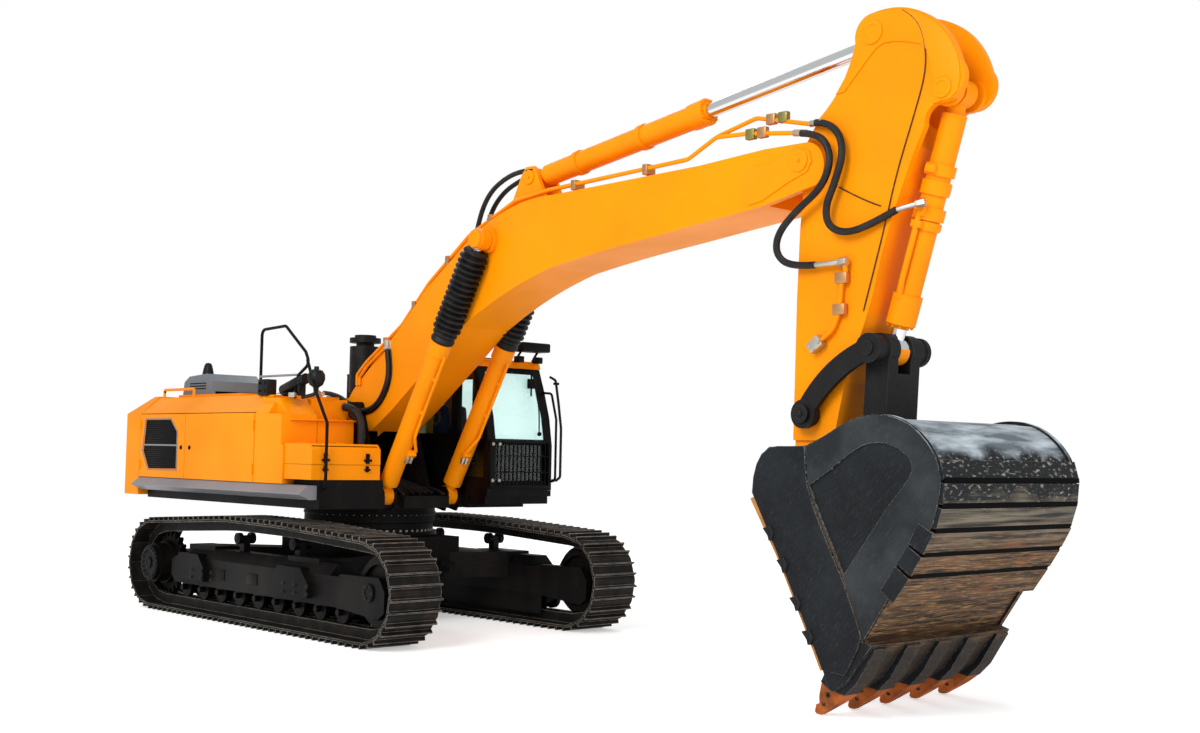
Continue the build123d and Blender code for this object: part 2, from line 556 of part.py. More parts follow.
# ---------------------------------------------------------------- cab
def cab():
    """Floor, four walls, roof, door and panes, each its own solid."""
    x0, x1 = CAB_X
    y0, y1 = CAB_Y
    z0, z1 = CAB_Z
    roof_z = z1 - 70
    low = z0 + 50
    # the front is upright to the sill and then rakes back to the roof
    face = [(x1, low), (x1, 2000), (x1 - 55, 2320), (x1 - 150, 2620), (x1 - 250, roof_z - 2)]
    side = [(x0, low)] + face + [(x0, roof_z - 2)]
    front_pane = [(x1 - 560, 2120), (x1 - 90, 2060), (x1 - 130, 2320), (x1 - 220, 2600), (x1 - 300, 2800),
                  (x1 - 560, 2800)]
    low_pane = [(x1 - 560, 1640), (x1 - 80, 1640), (x1 - 85, 1990), (x1 - 560, 2060)]
    rear_pane = [(x0 + 130, 2120), (x1 - 680, 2120), (x1 - 680, 2800), (x0 + 130, 2800)]
    made = {}
    made["cab_floor"] = block(x0, x1 - 5, y0, y1, DECK[1] + 2, low - 2)
    made["cab_floor"] += block(DECK_FRONT + GAP, x1 - 60, y0 + 20, y1, 1335, DECK[1] + 5)
    right = prism(side, y0, y0 + WALL)
    for hole in (front_pane, low_pane, rear_pane):
        right -= prism(hole, y0 - 10, y0 + WALL + 10)
    door_hole = [(60, low + 20), (870, low + 20), (x1 - 430, 1700), (x1 - 430, 2800), (60, 2800)]
    left = prism(side, y1 - WALL, y1) - prism(door_hole, y1 - WALL - 10, y1 + 10)
    left_pane = [(x1 - 360, 1640), (x1 - 80, 1640), (x1 - 85, 1990), (x1 - 130, 2320), (x1 - 220, 2600),
                 (x1 - 300, 2800), (x1 - 360, 2800)]
    left -= prism(left_pane, y1 - WALL - 10, y1 + 10)
    left -= block(x0 + 110, 20, y1 - WALL - 10, y1 + 10, 2120, 2800)
    made["cab_side_walls"] = [right, left]
    door = prism([(68, low + 28), (862, low + 28), (x1 - 438, 1704), (x1 - 438, 2792), (68, 2792)], y1 - 50,
                 y1)
    high_hole = [(150, 2110), (x1 - 500, 2110), (x1 - 500, 2720), (150, 2720)]
    low_hole = [(150, 1640), (850, 1640), (x1 - 500, 1780), (x1 - 500, 2030), (150, 2030)]
    door_panes = []
    for hole in (high_hole, low_hole):
        door -= prism(hole, y1 - WALL, y1 + 10)
        door_panes.append(prism(hole, y1 - 30, y1 - 30 + GLASS_T))
    knuckles = [Pos(82, y1 + HINGE_OUT, z) * Cylinder(HINGE_R, 110) for z in (1700, 2600)]
    made["cab_door"] = joined([door, *knuckles])
    made["cab_door_glass"] = door_panes
    rear = block(x0, x0 + WALL, y0 + WALL, y1 - WALL, low, roof_z - 2)
    rear -= block(x0 - 10, x0 + WALL + 10, y0 + 160, y1 - 160, 2120, 2780)
    front = prism(face + [(x - WALL, z) for x, z in reversed(face)], y0 + WALL, y1 - WALL)
    front -= block(x1 - 200, x1 + 100, y0 + 110, y1 - 110, 1600, 2010)
    front -= block(x1 - 500, x1 + 100, y0 + 110, y1 - 110, 2060, 2820)
    made["cab_end_walls"] = [rear, front]
    panes = [prism(hole, y0 + 26, y0 + 26 + GLASS_T) for hole in (front_pane, low_pane, rear_pane)]
    panes.append(prism(left_pane, y1 - 34, y1 - 34 + GLASS_T))
    panes.append(block(x0 + 110, 20, y1 - 34, y1 - 34 + GLASS_T, 2120, 2800))
    panes.append(block(x0 + 26, x0 + 26 + GLASS_T, y0 + 160, y1 - 160, 2120, 2780))
    screen = prism([(x - 20, z) for x, z in face] + [(x - 20 - GLASS_T, z) for x, z in reversed(face)],
                   y0 + 110, y1 - 110)
    panes += [screen & block(x1 - 500, x1, y0, y1, 2060, 2820),
              screen & block(x1 - 500, x1, y0, y1, 1600, 2010)]
    made["cab_glass"] = panes
    made["cab_roof"] = prism([(x0 - 10, roof_z), (x1 - 240, roof_z), (x1 - 262, z1), (x0 - 10, z1)], y0 - 6,
                             y1 + 10)
    made["operator_seat"] = joined([
        block(90, 610, 800, 1260, 1700, 1900),
        block(200, 500, 880, 1180, low, 1710),
        block(60, 190, 800, 1260, 1880, 2560),
        block(150, 620, 700, 800, low, 2020),
        block(150, 620, 1260, 1345, low, 2020)])
    made["cab_console"] = joined([block(980, 1240, 720, 1330, low, 1560),
                                  block(1150, 1230, 630, 722, low, 2150)])
    return made


# ---------------------------------------------------------------- working equipment
def boom():
    """Box-section boom: bent profile, fork at the tip, lugs and pins for the cylinders and the arm."""
    lower = [(60, 2130), (430, 2125), (800, 2350), (1620, 2915), (2030, 3210), (2630, 3480, BEND),
             (3400, 3715),
             (4130, 3815, BEND), (4800, 3885), (5500, 3960), (6060, 4015), (6485, 4100)]
    tip = [(6654, 4131), (6721, 4344, BEND), (6556, 4495)]
    upper = [(6100, 4500), (5360, 4460), (3400, 4432), (2760, 4370, BEND), (2100, 4100), (1400, 3660),
             (950, 3270),
             (60, 2600), (-50, 2480), (-50, 2250)]
    body = prism(lower + tip + upper, -BOOM_HALF, BOOM_HALF)
    # the arm swings between the fork's ears
    tx, tz = BOOM_TIP
    body -= prism([(tx - 330, tz - 700), (tx + 500, tz - 700), (tx + 500, tz + 400), (tx - 580, tz + 400),
                   (tx - 580, tz + 115), (tx - 420, tz + 30)], -ARM_HALF - 8, ARM_HALF + 8)
    fx, fz = ARM_CYL_FOOT
    parts = [body]
    for hand in (-1, 1):
        y0, y1 = span(ARM_CYL_EYE_Y + 6, ARM_CYL_EYE_Y + 50, hand)
        parts.append(prism([(fx - 330, fz - 360), (fx - 130, fz + 20), (fx - 60, fz + 110),
                            (fx + 60, fz + 110),
                            (fx + 120, fz + 20), (fx + 300, fz - 340)], y0, y1))
        y0, y1 = span(BOOM_HALF - 10, BOOM_CYL_Y - BOOM_EYE_Y - 10, hand)
        parts.append(axle(BOOM_CYL_PIN, 130, y0, y1))
    body = joined(parts)
    body -= axle(BOOM_FOOT, MAIN_PIN_R + PIN_GAP, -400, 400)
    pins = [axle(BOOM_TIP, MAIN_PIN_R, -BOOM_HALF - 22, BOOM_HALF + 22),
            axle(ARM_CYL_FOOT, PIN_R, -ARM_CYL_EYE_Y - 62, ARM_CYL_EYE_Y + 62)]
    return joined([body, *pins])


def arm():
    """Box-section arm: side plates up to an open head, filled between them lower down."""
    rear = [(6380, 1990), (6405, 3210), (6430, 3790), (6500, 4520)]
    back = [(6625, 4700), (6850, 4950, BEND), (6975, 5250), (7020, 5410, BEND), (7140, 5462)]
    nose = [(7560, 5400, BEND), (7950, 4930), (7935, 4690, BEND), (7780, 4640)]
    neck = [(7695, 4618, BEND), (7636, 4483), (7527, 4266), (7436, 4043), (7345, 3818), (7253, 3552),
            (7162, 3204)]
    low = [(7080, 2970), (6900, 2520), (6800, 2100)]
    tip = [(6780, 1860), (6740, 1700), (6620, 1640), (6500, 1700), (6450, 1800)]
    core = rear + [(6640, 4690), (7000, 4690), (7300, 4690), (7480, 4540),
                   (7520, 4340)] + neck[3:] + low + tip
    gap = ARM_HALF - ARM_PLATE
    parts = [prism(rear + back + nose + neck + low + tip, *span(gap, ARM_HALF, hand)) for hand in (-1, 1)]
    for hand in (-1, 1):
        for spot in (ARM_CYL_PIN, BUCKET_CYL_FOOT):
            parts.append(axle(spot, HEAD_BOSS_R, *span(HEAD_GAP, gap + 1, hand)))
    body = joined([*parts, prism(core, -gap - 1, gap + 1)])
    # the tip narrows to fit between the bucket's ears
    for hand in (-1, 1):
        y0, y1 = span(ARM_TIP_HALF, 400, hand)
        body -= block(6200, 7200, y0, y1, 1500, 2060)
    body -= axle(BOOM_TIP, MAIN_PIN_R + PIN_GAP, -400, 400)
    body -= axle(BUCKET_PIN, PIN_R + PIN_GAP, -400, 400)
    pins = [axle(BUCKET_CYL_FOOT, PIN_R, -ARM_HALF - 18, ARM_HALF + 18),
            axle(SIDE_LINK_PIN, PIN_R, -SIDE_LINK_Y[1] - 18, SIDE_LINK_Y[1] + 18)]
    for hand in (-1, 1):
        pins.append(axle(ARM_CYL_PIN, PIN_R + 35, *span(HEAD_GAP - 8, ARM_HALF + 18, hand)))
    return joined([body, *pins])


def wrapper_inside():
    """The bucket wrapper's inner line: its outer line moved in by the plate's thickness."""
    inner = []
    for i, (x, z, *bend) in enumerate(WRAPPER):
        ax, az = WRAPPER[max(i - 1, 0)][:2]
        bx, bz = WRAPPER[min(i + 1, len(WRAPPER) - 1)][:2]
        length = math.hypot(bx - ax, bz - az)
        inner.append((x + (bz - az) / length * BUCKET_PLATE, z - (bx - ax) / length * BUCKET_PLATE, *bend))
    return inner


def straps():
    """Wear straps across the bucket's back. The lowest ones wrap onto the sides."""
    made = []
    runs = list(zip(STRAP_GAPS, STRAP_GAPS[1:]))
    for number, ((ax, az), (bx, bz)) in enumerate(runs):
        length = math.dist((ax, az), (bx, bz))
        tx, tz = (bx - ax) / length, (bz - az) / length

        def piece(high, low, y0, y1):
            """A plate along the run, between two heights over it."""
            corners = [(STRAP_GAP / 2, high), (length - STRAP_GAP / 2, high), (length - STRAP_GAP / 2, low),
                       (STRAP_GAP / 2, low)]
            return prism([(ax + tx * s - tz * h, az + tz * s + tx * h) for s, h in corners], y0, y1)

        made.append(piece(STRAP_PROUD, -35, -BUCKET_HALF - 8, BUCKET_HALF + 8))
        if number >= len(runs) - STRAP_ENDS:
            for hand in (-1, 1):
                made.append(piece(STRAP_PROUD, -110, *span(BUCKET_HALF - 12, BUCKET_HALF + 28, hand)))
    return made


def bucket():
    """Open shell: side plates, wrapper, ears, wear straps and a lip with tooth adapters."""
    parts = [prism(WRAPPER + list(reversed(wrapper_inside())), -BUCKET_HALF + 5, BUCKET_HALF - 5)]
    parts += [prism(BUCKET_SIDE, *span(BUCKET_HALF - 45, BUCKET_HALF, hand)) for hand in (-1, 1)]
    ear = [(6455, 1800), (6490, 1930), (6620, 1975), (6800, 1950), (7020, 2130), (7090, 2210), (7230, 2210),
           (7300, 2130),
           (7440, 2110), (7400, 1960), (7290, 1850), (7060, 1800), (6900, 1760), (6760, 1660), (6620, 1625),
           (6500, 1670)]
    for hand in (-1, 1):
        parts.append(prism(ear, *span(*EAR_Y, hand)))
    parts += straps()
    parts.append(prism([(7246, 350), (7600, 600), (7680, 575), (7470, 300), (7350, 206), (7300, 216)],
                       -BUCKET_HALF - 8, BUCKET_HALF + 8))
    adapter = TOOTH_LINE + [(7530, 290), (7690, 545), (7640, 590), (7380, 440), (7250, 352)]
    parts += [prism(adapter, y - 86, y + 86) for y in TOOTH_Y]
    shell = joined(parts)
    pins = [axle(BUCKET_PIN, PIN_R, -EAR_Y[1], EAR_Y[1])]
    pins += [axle(BUCKET_EAR, PIN_R + 25, *span(EAR_Y[0] - 2, EAR_Y[1] + 20, hand)) for hand in (-1, 1)]
    return joined([shell, *pins])


def teeth():
    """Teeth below their adapters: deep sockets that narrow to blunt points."""
    side = TOOTH_LINE + [(7336, 118), (7244, 58), (7164, 8), (7118, 8), (7108, 26), (7138, 84), (7172, 98),
                         (7184, 178)]
    front = [(-74, 300), (74, 300), (74, 150), (60, 95), (24, 6), (-24, 6), (-60, 95), (-74, 150)]
    made = []
    for y in TOOTH_Y:
        across = skin([(y + away, z) for away, z in front], 7000, 7500)
        made.append(prism(side, y - 80, y + 80) & across)
    return made


def cylinder(foot, pin, y, barrel_r, rod_r, barrel_l, eye_half, rod_start):
    """(barrel with its bored foot eye, rod with its blind eye) on the line from foot to pin at one y."""
    a, b = (foot[0], y, foot[1]), (pin[0], y, pin[1])
    length = math.dist(foot, pin)
    barrel = joined([rod(a, b, barrel_r, NECK, barrel_l),
                     rod(a, b, barrel_r + 14, barrel_l - 150, barrel_l),
                     rod(a, b, eye_half - 4, EYE_R * 0.6, NECK + 5),
                     axle(foot, EYE_R, y - eye_half, y + eye_half)])
    barrel -= rod(a, b, rod_r + 1, NECK + 10, barrel_l + 10)
    barrel -= axle(foot, PIN_R + PIN_GAP, y - 300, y + 300)
    shaft = rod(a, b, rod_r, rod_start, length - EYE_R * 0.4)
    return barrel, shaft.fuse(axle(pin, EYE_R, y - eye_half, y + eye_half))


def rounded_link(a, b, r, half, y0, y1, bow=0):
    """A link plate with round ends about a and b, and a bowed middle."""
    length = math.dist(a, b)
    tx, tz = (b[0] - a[0]) / length, (b[1] - a[1]) / length
    mid = ((a[0] + b[0]) / 2 - tz * bow, (a[1] + b[1]) / 2 + tx * bow)
    bend = [BEND] if bow else []
    rows = [(*a,), (*mid, *bend), (*b,)]
    edge = [(x - tz * half, z + tx * half, *kind) for x, z, *kind in rows]
    edge += [(x + tz * half, z - tx * half, *kind) for x, z, *kind in reversed(rows)]
    return joined([prism(edge, y0, y1), axle(a, r, y0, y1), axle(b, r, y0, y1)])


def links():
    """Side links outside the arm, and the bucket link between them, open round the rod's eye."""
    side_links = []
    for hand in (-1, 1):
        link = rounded_link(SIDE_LINK_PIN, LINK_TOP, 118, 85, *span(*SIDE_LINK_Y, hand), bow=70)
        link = link.fuse(axle(SIDE_LINK_PIN, 100, *span(ARM_HALF + 5, SIDE_LINK_Y[0] + 2, hand)))
        link -= axle(SIDE_LINK_PIN, PIN_R + PIN_GAP, -400, 400)
        pin = axle(LINK_TOP, PIN_R, *span(ROD_SLOT_Y + 10, SIDE_LINK_Y[1] + 18, hand))
        side_links.append(link.fuse(pin))
    link = rounded_link(LINK_TOP, BUCKET_EAR, 128, 108, -LINK_HALF, LINK_HALF)
    link -= axle(LINK_TOP, 215, -ROD_SLOT_Y, ROD_SLOT_Y)
    link -= block(LINK_TOP[0] - 400, LINK_TOP[0] + 400, -ROD_SLOT_Y, ROD_SLOT_Y, LINK_TOP[1] - 60,
                  LINK_TOP[1] + 400)
    bosses = [axle(LINK_TOP, 112, *span(LINK_HALF - 2, SIDE_LINK_Y[0] - 6, hand)) for hand in (-1, 1)]
    return side_links, joined([link, *bosses]) - axle(LINK_TOP, PIN_R + PIN_GAP, -400, 400)


def main():
    """Writes every node."""
    os.makedirs("parts", exist_ok=True)
    for side, hand in ((-1, "right"), (1, "left")):
        put(f"track_{hand}", track(side))
        put(f"track_frame_{hand}", track_frame(side))
    idlers, drives = wheels()
    put("idlers", *idlers)
    put("final_drives", *drives)
    put("track_rollers", *rollers())
    put("carbody", carbody())

    put("main_frame", main_frame())
    put("counterweight", counterweight())
    put("engine_block", block(-2450, -1500, -760, 640, DECK[1], 2330))
    for name, door in doors().items():
        put(name, door)
    put("hood_panels", hood_panels())
    put("engine_hood", engine_hood())
    fuel, hydraulic = right_steps()
    put("fuel_tank", fuel)
    put("hydraulic_tank", hydraulic)
    box, lid = toolbox()
    put("toolbox", box)
    put("toolbox_lid", lid)
    put("side_skirts", *skirts())
    put("intake_stack", intake_stack())
    put("handrails", *handrails())
    for name, shape in cab().items():
        put(name, *(shape if isinstance(shape, list) else [shape]))

    put("boom", boom())
    put("arm", arm())
    put("bucket", bucket())
    put("bucket_teeth", *teeth())
    pairs = [cylinder(BOOM_CYL_FOOT, BOOM_CYL_PIN, side * BOOM_CYL_Y, BOOM_CYL_R, BOOM_ROD_R, BOOM_BARREL_L,
                      BOOM_EYE_Y,
                      1105) for side in (-1, 1)]
    put("boom_cylinder_barrels", *[barrel for barrel, _ in pairs])
    put("boom_cylinder_rods", *[shaft for _, shaft in pairs])
    barrel, shaft = cylinder(ARM_CYL_FOOT, ARM_CYL_PIN, 0, ARM_CYL_R, ARM_ROD_R, ARM_BARREL_L,
                             ARM_CYL_EYE_Y, 1990)
    put("arm_cylinder_barrel", barrel)
    put("arm_cylinder_rod", shaft)
    barrel, shaft = cylinder(BUCKET_CYL_FOOT, LINK_TOP, 0, BUCKET_CYL_R, BUCKET_ROD_R, BUCKET_BARREL_L,
                             ROD_SLOT_Y - 7, 225)
    put("bucket_cylinder_barrel", barrel)
    put("bucket_cylinder_rod", shaft)
    side_links, link = links()
    put("side_links", *side_links)
    put("bucket_link", link)


main()
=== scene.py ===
"""Looks of a crawler excavator: finishes, trim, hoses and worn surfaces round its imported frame.

Sizes and places are millimetres from the slew axis on the ground, +X forward, +Y left, +Z up.
at() turns such a place into the frame's metres.
"""

import json
import logging
import math
from collections.abc import Callable, Iterator, Sequence
from contextlib import contextmanager
from dataclasses import dataclass
from enum import Enum

import bmesh
import bpy
from mathutils import Matrix, Vector


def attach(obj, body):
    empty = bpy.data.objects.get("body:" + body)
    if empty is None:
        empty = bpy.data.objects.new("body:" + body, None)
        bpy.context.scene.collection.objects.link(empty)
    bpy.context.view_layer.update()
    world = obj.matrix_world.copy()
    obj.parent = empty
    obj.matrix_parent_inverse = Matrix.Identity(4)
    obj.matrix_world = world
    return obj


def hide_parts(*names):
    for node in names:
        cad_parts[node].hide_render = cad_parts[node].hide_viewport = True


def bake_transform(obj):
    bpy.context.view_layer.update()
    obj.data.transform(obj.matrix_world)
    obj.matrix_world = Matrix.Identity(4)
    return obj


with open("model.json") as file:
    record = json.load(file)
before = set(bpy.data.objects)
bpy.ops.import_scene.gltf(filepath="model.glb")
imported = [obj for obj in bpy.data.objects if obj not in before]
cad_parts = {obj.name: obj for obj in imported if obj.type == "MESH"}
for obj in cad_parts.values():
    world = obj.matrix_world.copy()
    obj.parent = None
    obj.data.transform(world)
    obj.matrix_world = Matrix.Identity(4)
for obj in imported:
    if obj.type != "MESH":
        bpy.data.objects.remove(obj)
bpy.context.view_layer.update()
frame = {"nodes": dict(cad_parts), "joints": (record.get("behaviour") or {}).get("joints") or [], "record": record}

MM = 0.001
JOINTS = {joint["name"]: joint for joint in frame["joints"]}
SLEW_X = JOINTS["slew"]["pos_m"][0]
SMOOTH_ANGLE = math.radians(35)
UP = Vector((0, 0, 1))
LEFT = Vector((0, 1, 0))
AHEAD = Vector((1, 0, 0))
SIDES = ((-1, "right"), (1, "left"))
Place = tuple[float, float, float]
Outline = Sequence[tuple[float, float]]
Mesh = bpy.types.Object
Tree = bpy.types.NodeTree
Socket = bpy.types.NodeSocket
log = logging.getLogger("excavator")


# ---------------------------------------------------------------- places
def at(x: float, y: float, z: float) -> Vector:
    """A place in millimetres from the slew axis, in the frame's metres."""
    return Vector((x * MM + SLEW_X, y * MM, z * MM))


def pivot(joint: str) -> Vector:
    """A joint's place, in millimetres from the slew axis."""
    return (Vector(JOINTS[joint]["pos_m"]) - Vector((SLEW_X, 0, 0))) / MM


# ---------------------------------------------------------------- modelling
def deselect() -> None:
    """Returns to object mode and deselects everything."""
    active = bpy.context.view_layer.objects.active
    if active is not None and active.mode != "OBJECT":
        bpy.ops.object.mode_set(mode="OBJECT")
    bpy.ops.object.select_all(action="DESELECT")


def select_only(obj: Mesh) -> None:
    """Makes obj the active and only selected object."""
    deselect()
    obj.select_set(True)
    bpy.context.view_layer.objects.active = obj


@contextmanager
def editing(obj: Mesh) -> Iterator[None]:
    """Holds obj in edit mode, with nothing selected at the start."""
    select_only(obj)
    bpy.ops.object.mode_set(mode="EDIT")
    bpy.ops.mesh.select_mode(type="FACE")
    bpy.ops.mesh.select_all(action="DESELECT")
    yield
    bpy.ops.object.mode_set(mode="OBJECT")


def pick(obj: Mesh, wanted: Callable[[Vector, Vector], bool]) -> None:
    """Selects, in edit mode, the faces that pass a test.

    Args:
        obj: The object being edited.
        wanted: Takes a face's centre and normal, and says whether it is selected.
    """
    mesh = bmesh.from_edit_mesh(obj.data)
    for face in mesh.faces:
        face.select_set(wanted(face.calc_center_median(), face.normal))
    bmesh.update_edit_mesh(obj.data)


def settle(obj: Mesh) -> Mesh:
    """Moves an object's place, turn and scale into its mesh, and returns it."""
    select_only(obj)
    bpy.ops.object.transform_apply(location=True, rotation=True, scale=True)
    return obj


def brick(low: Place, high: Place, soft: float = 4.0) -> Mesh:
    """A block between two corners, its edges rounded.

    Args:
        low: The lowest corner.
        high: The highest corner.
        soft: The width of the rounded edge.

    Returns:
        The finished mesh object.
    """
    a, b = at(*low), at(*high)
    deselect()
    bpy.ops.mesh.primitive_cube_add(size=1, location=(a + b) / 2, scale=b - a)
    block = settle(bpy.context.object)
    with editing(block):
        bpy.ops.mesh.select_all(action="SELECT")
        bpy.ops.mesh.bevel(offset=soft * MM, segments=2, affect="EDGES")
    return block


def drum(start: Place | Vector, end: Place | Vector, radius: float, sides: int = 24, soft: float = 3.0,
         dish: float = 0.0) -> Mesh:
    """A round piece from one place to another, its rims rounded.

    Args:
        start: The middle of one end, in millimetres.
        end: The middle of the other end, in millimetres.
        radius: The radius in millimetres.
        sides: The number of sides.
        soft: The width of the rounded rim.
        dish: How deep each end is sunk inside its rim, or raised if it is below zero.

    Returns:
        The finished mesh object.
    """
    a, b = at(*start), at(*end)
    run = b - a
    deselect()
    bpy.ops.mesh.primitive_cylinder_add(vertices=sides, radius=radius * MM, depth=run.length,
                                        location=(a + b) / 2, rotation=run.to_track_quat("Z", "Y").to_euler())
    piece = settle(bpy.context.object)
    axis = run.normalized()
    with editing(piece):
        pick(piece, lambda _, normal: abs(normal.dot(axis)) > 0.9)
        if soft:
            bpy.ops.mesh.bevel(offset=soft * MM, segments=2, affect="EDGES")
            pick(piece, lambda _, normal: abs(normal.dot(axis)) > 0.99)
        if dish:
            bpy.ops.mesh.inset(thickness=radius * 0.3 * MM)
            bpy.ops.mesh.inset(thickness=max(2.0, abs(dish) * 0.5) * MM, depth=-dish * MM)
    return piece


def turn_outward() -> None:
    """Selects the whole mesh being edited and turns its normals outward."""
    bpy.ops.mesh.select_all(action="SELECT")
    bpy.ops.mesh.normals_make_consistent(inside=False)


def sheet(outline: Outline, y: float) -> Mesh:
    """One flat face with an outline in the X-Z plane at y."""
    deselect()
    bpy.ops.mesh.primitive_circle_add(vertices=len(outline), fill_type="NGON")
    piece = bpy.context.object
    for vertex, (x, z) in zip(piece.data.vertices, outline):
        vertex.co = at(x, y, z)
    return piece


def thicken(deep: float) -> None:
    """Pulls the faces being edited deep millimetres along Y into a closed solid."""
    bpy.ops.mesh.select_all(action="SELECT")
    bpy.ops.mesh.extrude_region_move(TRANSFORM_OT_translate={"value": (0, deep * MM, 0)})
    turn_outward()


def level(y: float, route: Outline) -> list[Place]:
    """The route's places (x, z), all at the same y."""
    return [(x, y, z) for x, z in route]


def plate(outline: Outline, y0: float, y1: float, soft: float = 3.0) -> Mesh:
    """A flat plate with an outline in the X-Z plane.

    Args:
        outline: Its corners as (x, z).
        y0: One face's y.
        y1: The other face's y.
        soft: The width of the rounded edge.

    Returns:
        The finished mesh object.
    """
    piece = sheet(outline, y0)
    with editing(piece):
        thicken(y1 - y0)
        if soft:
            pick(piece, lambda _, normal: abs(normal.y) > 0.9)
            bpy.ops.mesh.bevel(offset=soft * MM, segments=2, affect="EDGES")
    return piece


def rim(outline: Outline, width: float, y0: float, y1: float) -> Mesh:
    """A flat frame that follows an outline in the X-Z plane.

    Args:
        outline: Its outer corners as (x, z).
        width: How wide the frame is, inwards.
        y0: One face's y.
        y1: The other face's y.

    Returns:
        The finished mesh object.
    """
    piece = sheet(outline, y0)
    with editing(piece):
        bpy.ops.mesh.select_all(action="SELECT")
        bpy.ops.mesh.inset(thickness=width * MM)
        bpy.ops.mesh.delete(type="FACE")
        thicken(y1 - y0)
    return piece


def lathe(profile: Outline, foot: Place | Vector, axis: Vector, sides: int = 32) -> Mesh:
    """A turned piece: a closed profile spun round an axis.

    Args:
        profile: Its corners as (radius, height along the axis), in millimetres.
        foot: Where the heights start.
        axis: The way that the heights grow.
        sides: The number of steps round the axis.

    Returns:
        The finished mesh object.
    """
    unit = axis.normalized()
    turn = unit.to_track_quat("Z", "Y")
    deselect()
    bpy.ops.mesh.primitive_circle_add(vertices=len(profile))
    piece = bpy.context.object
    for vertex, (radius, height) in zip(piece.data.vertices, profile):
        vertex.co = at(*(Vector(foot) + turn @ Vector((radius, 0, height))))
    with editing(piece):
        bpy.ops.mesh.select_all(action="SELECT")
        bpy.ops.mesh.spin(steps=sides, angle=math.tau, center=at(*foot), axis=unit)
        bpy.ops.mesh.select_all(action="SELECT")
        bpy.ops.mesh.remove_doubles(threshold=0.0002)
        turn_outward()
    return piece


def hose(route: Sequence[Place], radius: float, bend: float = 0.0, sides: int = 4) -> Mesh:
    """A hose or pipe along a route.

    Args:
        route: The places it passes by, in millimetres.
        radius: Its radius.
        bend: How far from each corner a bent steel pipe starts to turn, or 0 for a hose in free curves.
        sides: A quarter of the number of sides, less one.

    Returns:
        The finished mesh object.
    """
    spots = [Vector(place) for place in route]
    if bend:
        line = [spots[0]]
        for before, corner, after in zip(spots, spots[1:], spots[2:]):
            back, ahead = before - corner, after - corner
            line += [corner + back.normalized() * min(bend, back.length * 0.45), corner,
                     corner + ahead.normalized() * min(bend, ahead.length * 0.45)]
        spots = line + [spots[-1]]
    curve = bpy.data.curves.new("route", "CURVE")
    curve.dimensions = "3D"
    curve.bevel_depth = radius * MM
    curve.bevel_resolution = sides - 1
    curve.resolution_u = 6
    curve.use_fill_caps = True
    spline = curve.splines.new("NURBS")
    spline.points.add(len(spots) - 1)
    for point, spot in zip(spline.points, spots):
        point.co = (*at(*spot), 1)
    spline.order_u = 3
    spline.use_endpoint_u = True
    piece = bpy.data.objects.new("hose", curve)
    bpy.context.scene.collection.objects.link(piece)
    select_only(piece)
    bpy.ops.object.convert(target="MESH")
    piece = bpy.context.object
    with editing(piece):
        turn_outward()
    return piece


def bolts(spots: Sequence[Place | Vector], axis: Vector, across: float, height: float) -> list[Mesh]:
    """Hexagon bolt heads on washers.

    Args:
        spots: Where each stands, in millimetres.
        axis: The way that they point.
        across: The head's width across its corners.
        height: The head's height.

    Returns:
        One object for each bolt.
    """
    unit = axis.normalized()
    made = []
    for spot in map(Vector, spots):
        made.append(drum(spot, spot + unit * (height * 0.2), across * 0.62, 16, 0))
        made.append(drum(spot + unit * (height * 0.2), spot + unit * height, across / 2, 6, height * 0.12))
    return made


def ring_of(centre: Vector, axis: Vector, radius: float, count: int, start: float = 0.0) -> list[Vector]:
    """Evenly spaced places on a circle.

    Args:
        centre: The circle's middle, in millimetres.
        axis: The circle's axis.
        radius: The circle's radius.
        count: How many places.
        start: The first one's angle in degrees.

    Returns:
        The places in millimetres.
    """
    turn = axis.normalized().to_track_quat("Z", "Y")
    angles = [math.radians(start) + math.tau * k / count for k in range(count)]
    return [centre + turn @ Vector((radius * math.cos(a), radius * math.sin(a), 0)) for a in angles]


def join(pieces: Sequence[Mesh]) -> Mesh:
    """Joins several objects into the first one and returns it."""
    select_only(pieces[0])
    for piece in pieces:
        piece.select_set(True)
    if len(pieces) > 1:
        bpy.ops.object.join()
    return bpy.context.view_layer.objects.active


# ---------------------------------------------------------------- finishes
def linear(colour: str) -> tuple[float, float, float, float]:
    """An sRGB hex colour as linear red, green, blue and alpha."""
    parts = [int(colour[k:k + 2], 16) / 255 for k in (1, 3, 5)]
    return (*(c / 12.92 if c <= 0.04045 else ((c + 0.055) / 1.055) ** 2.4 for c in parts), 1.0)


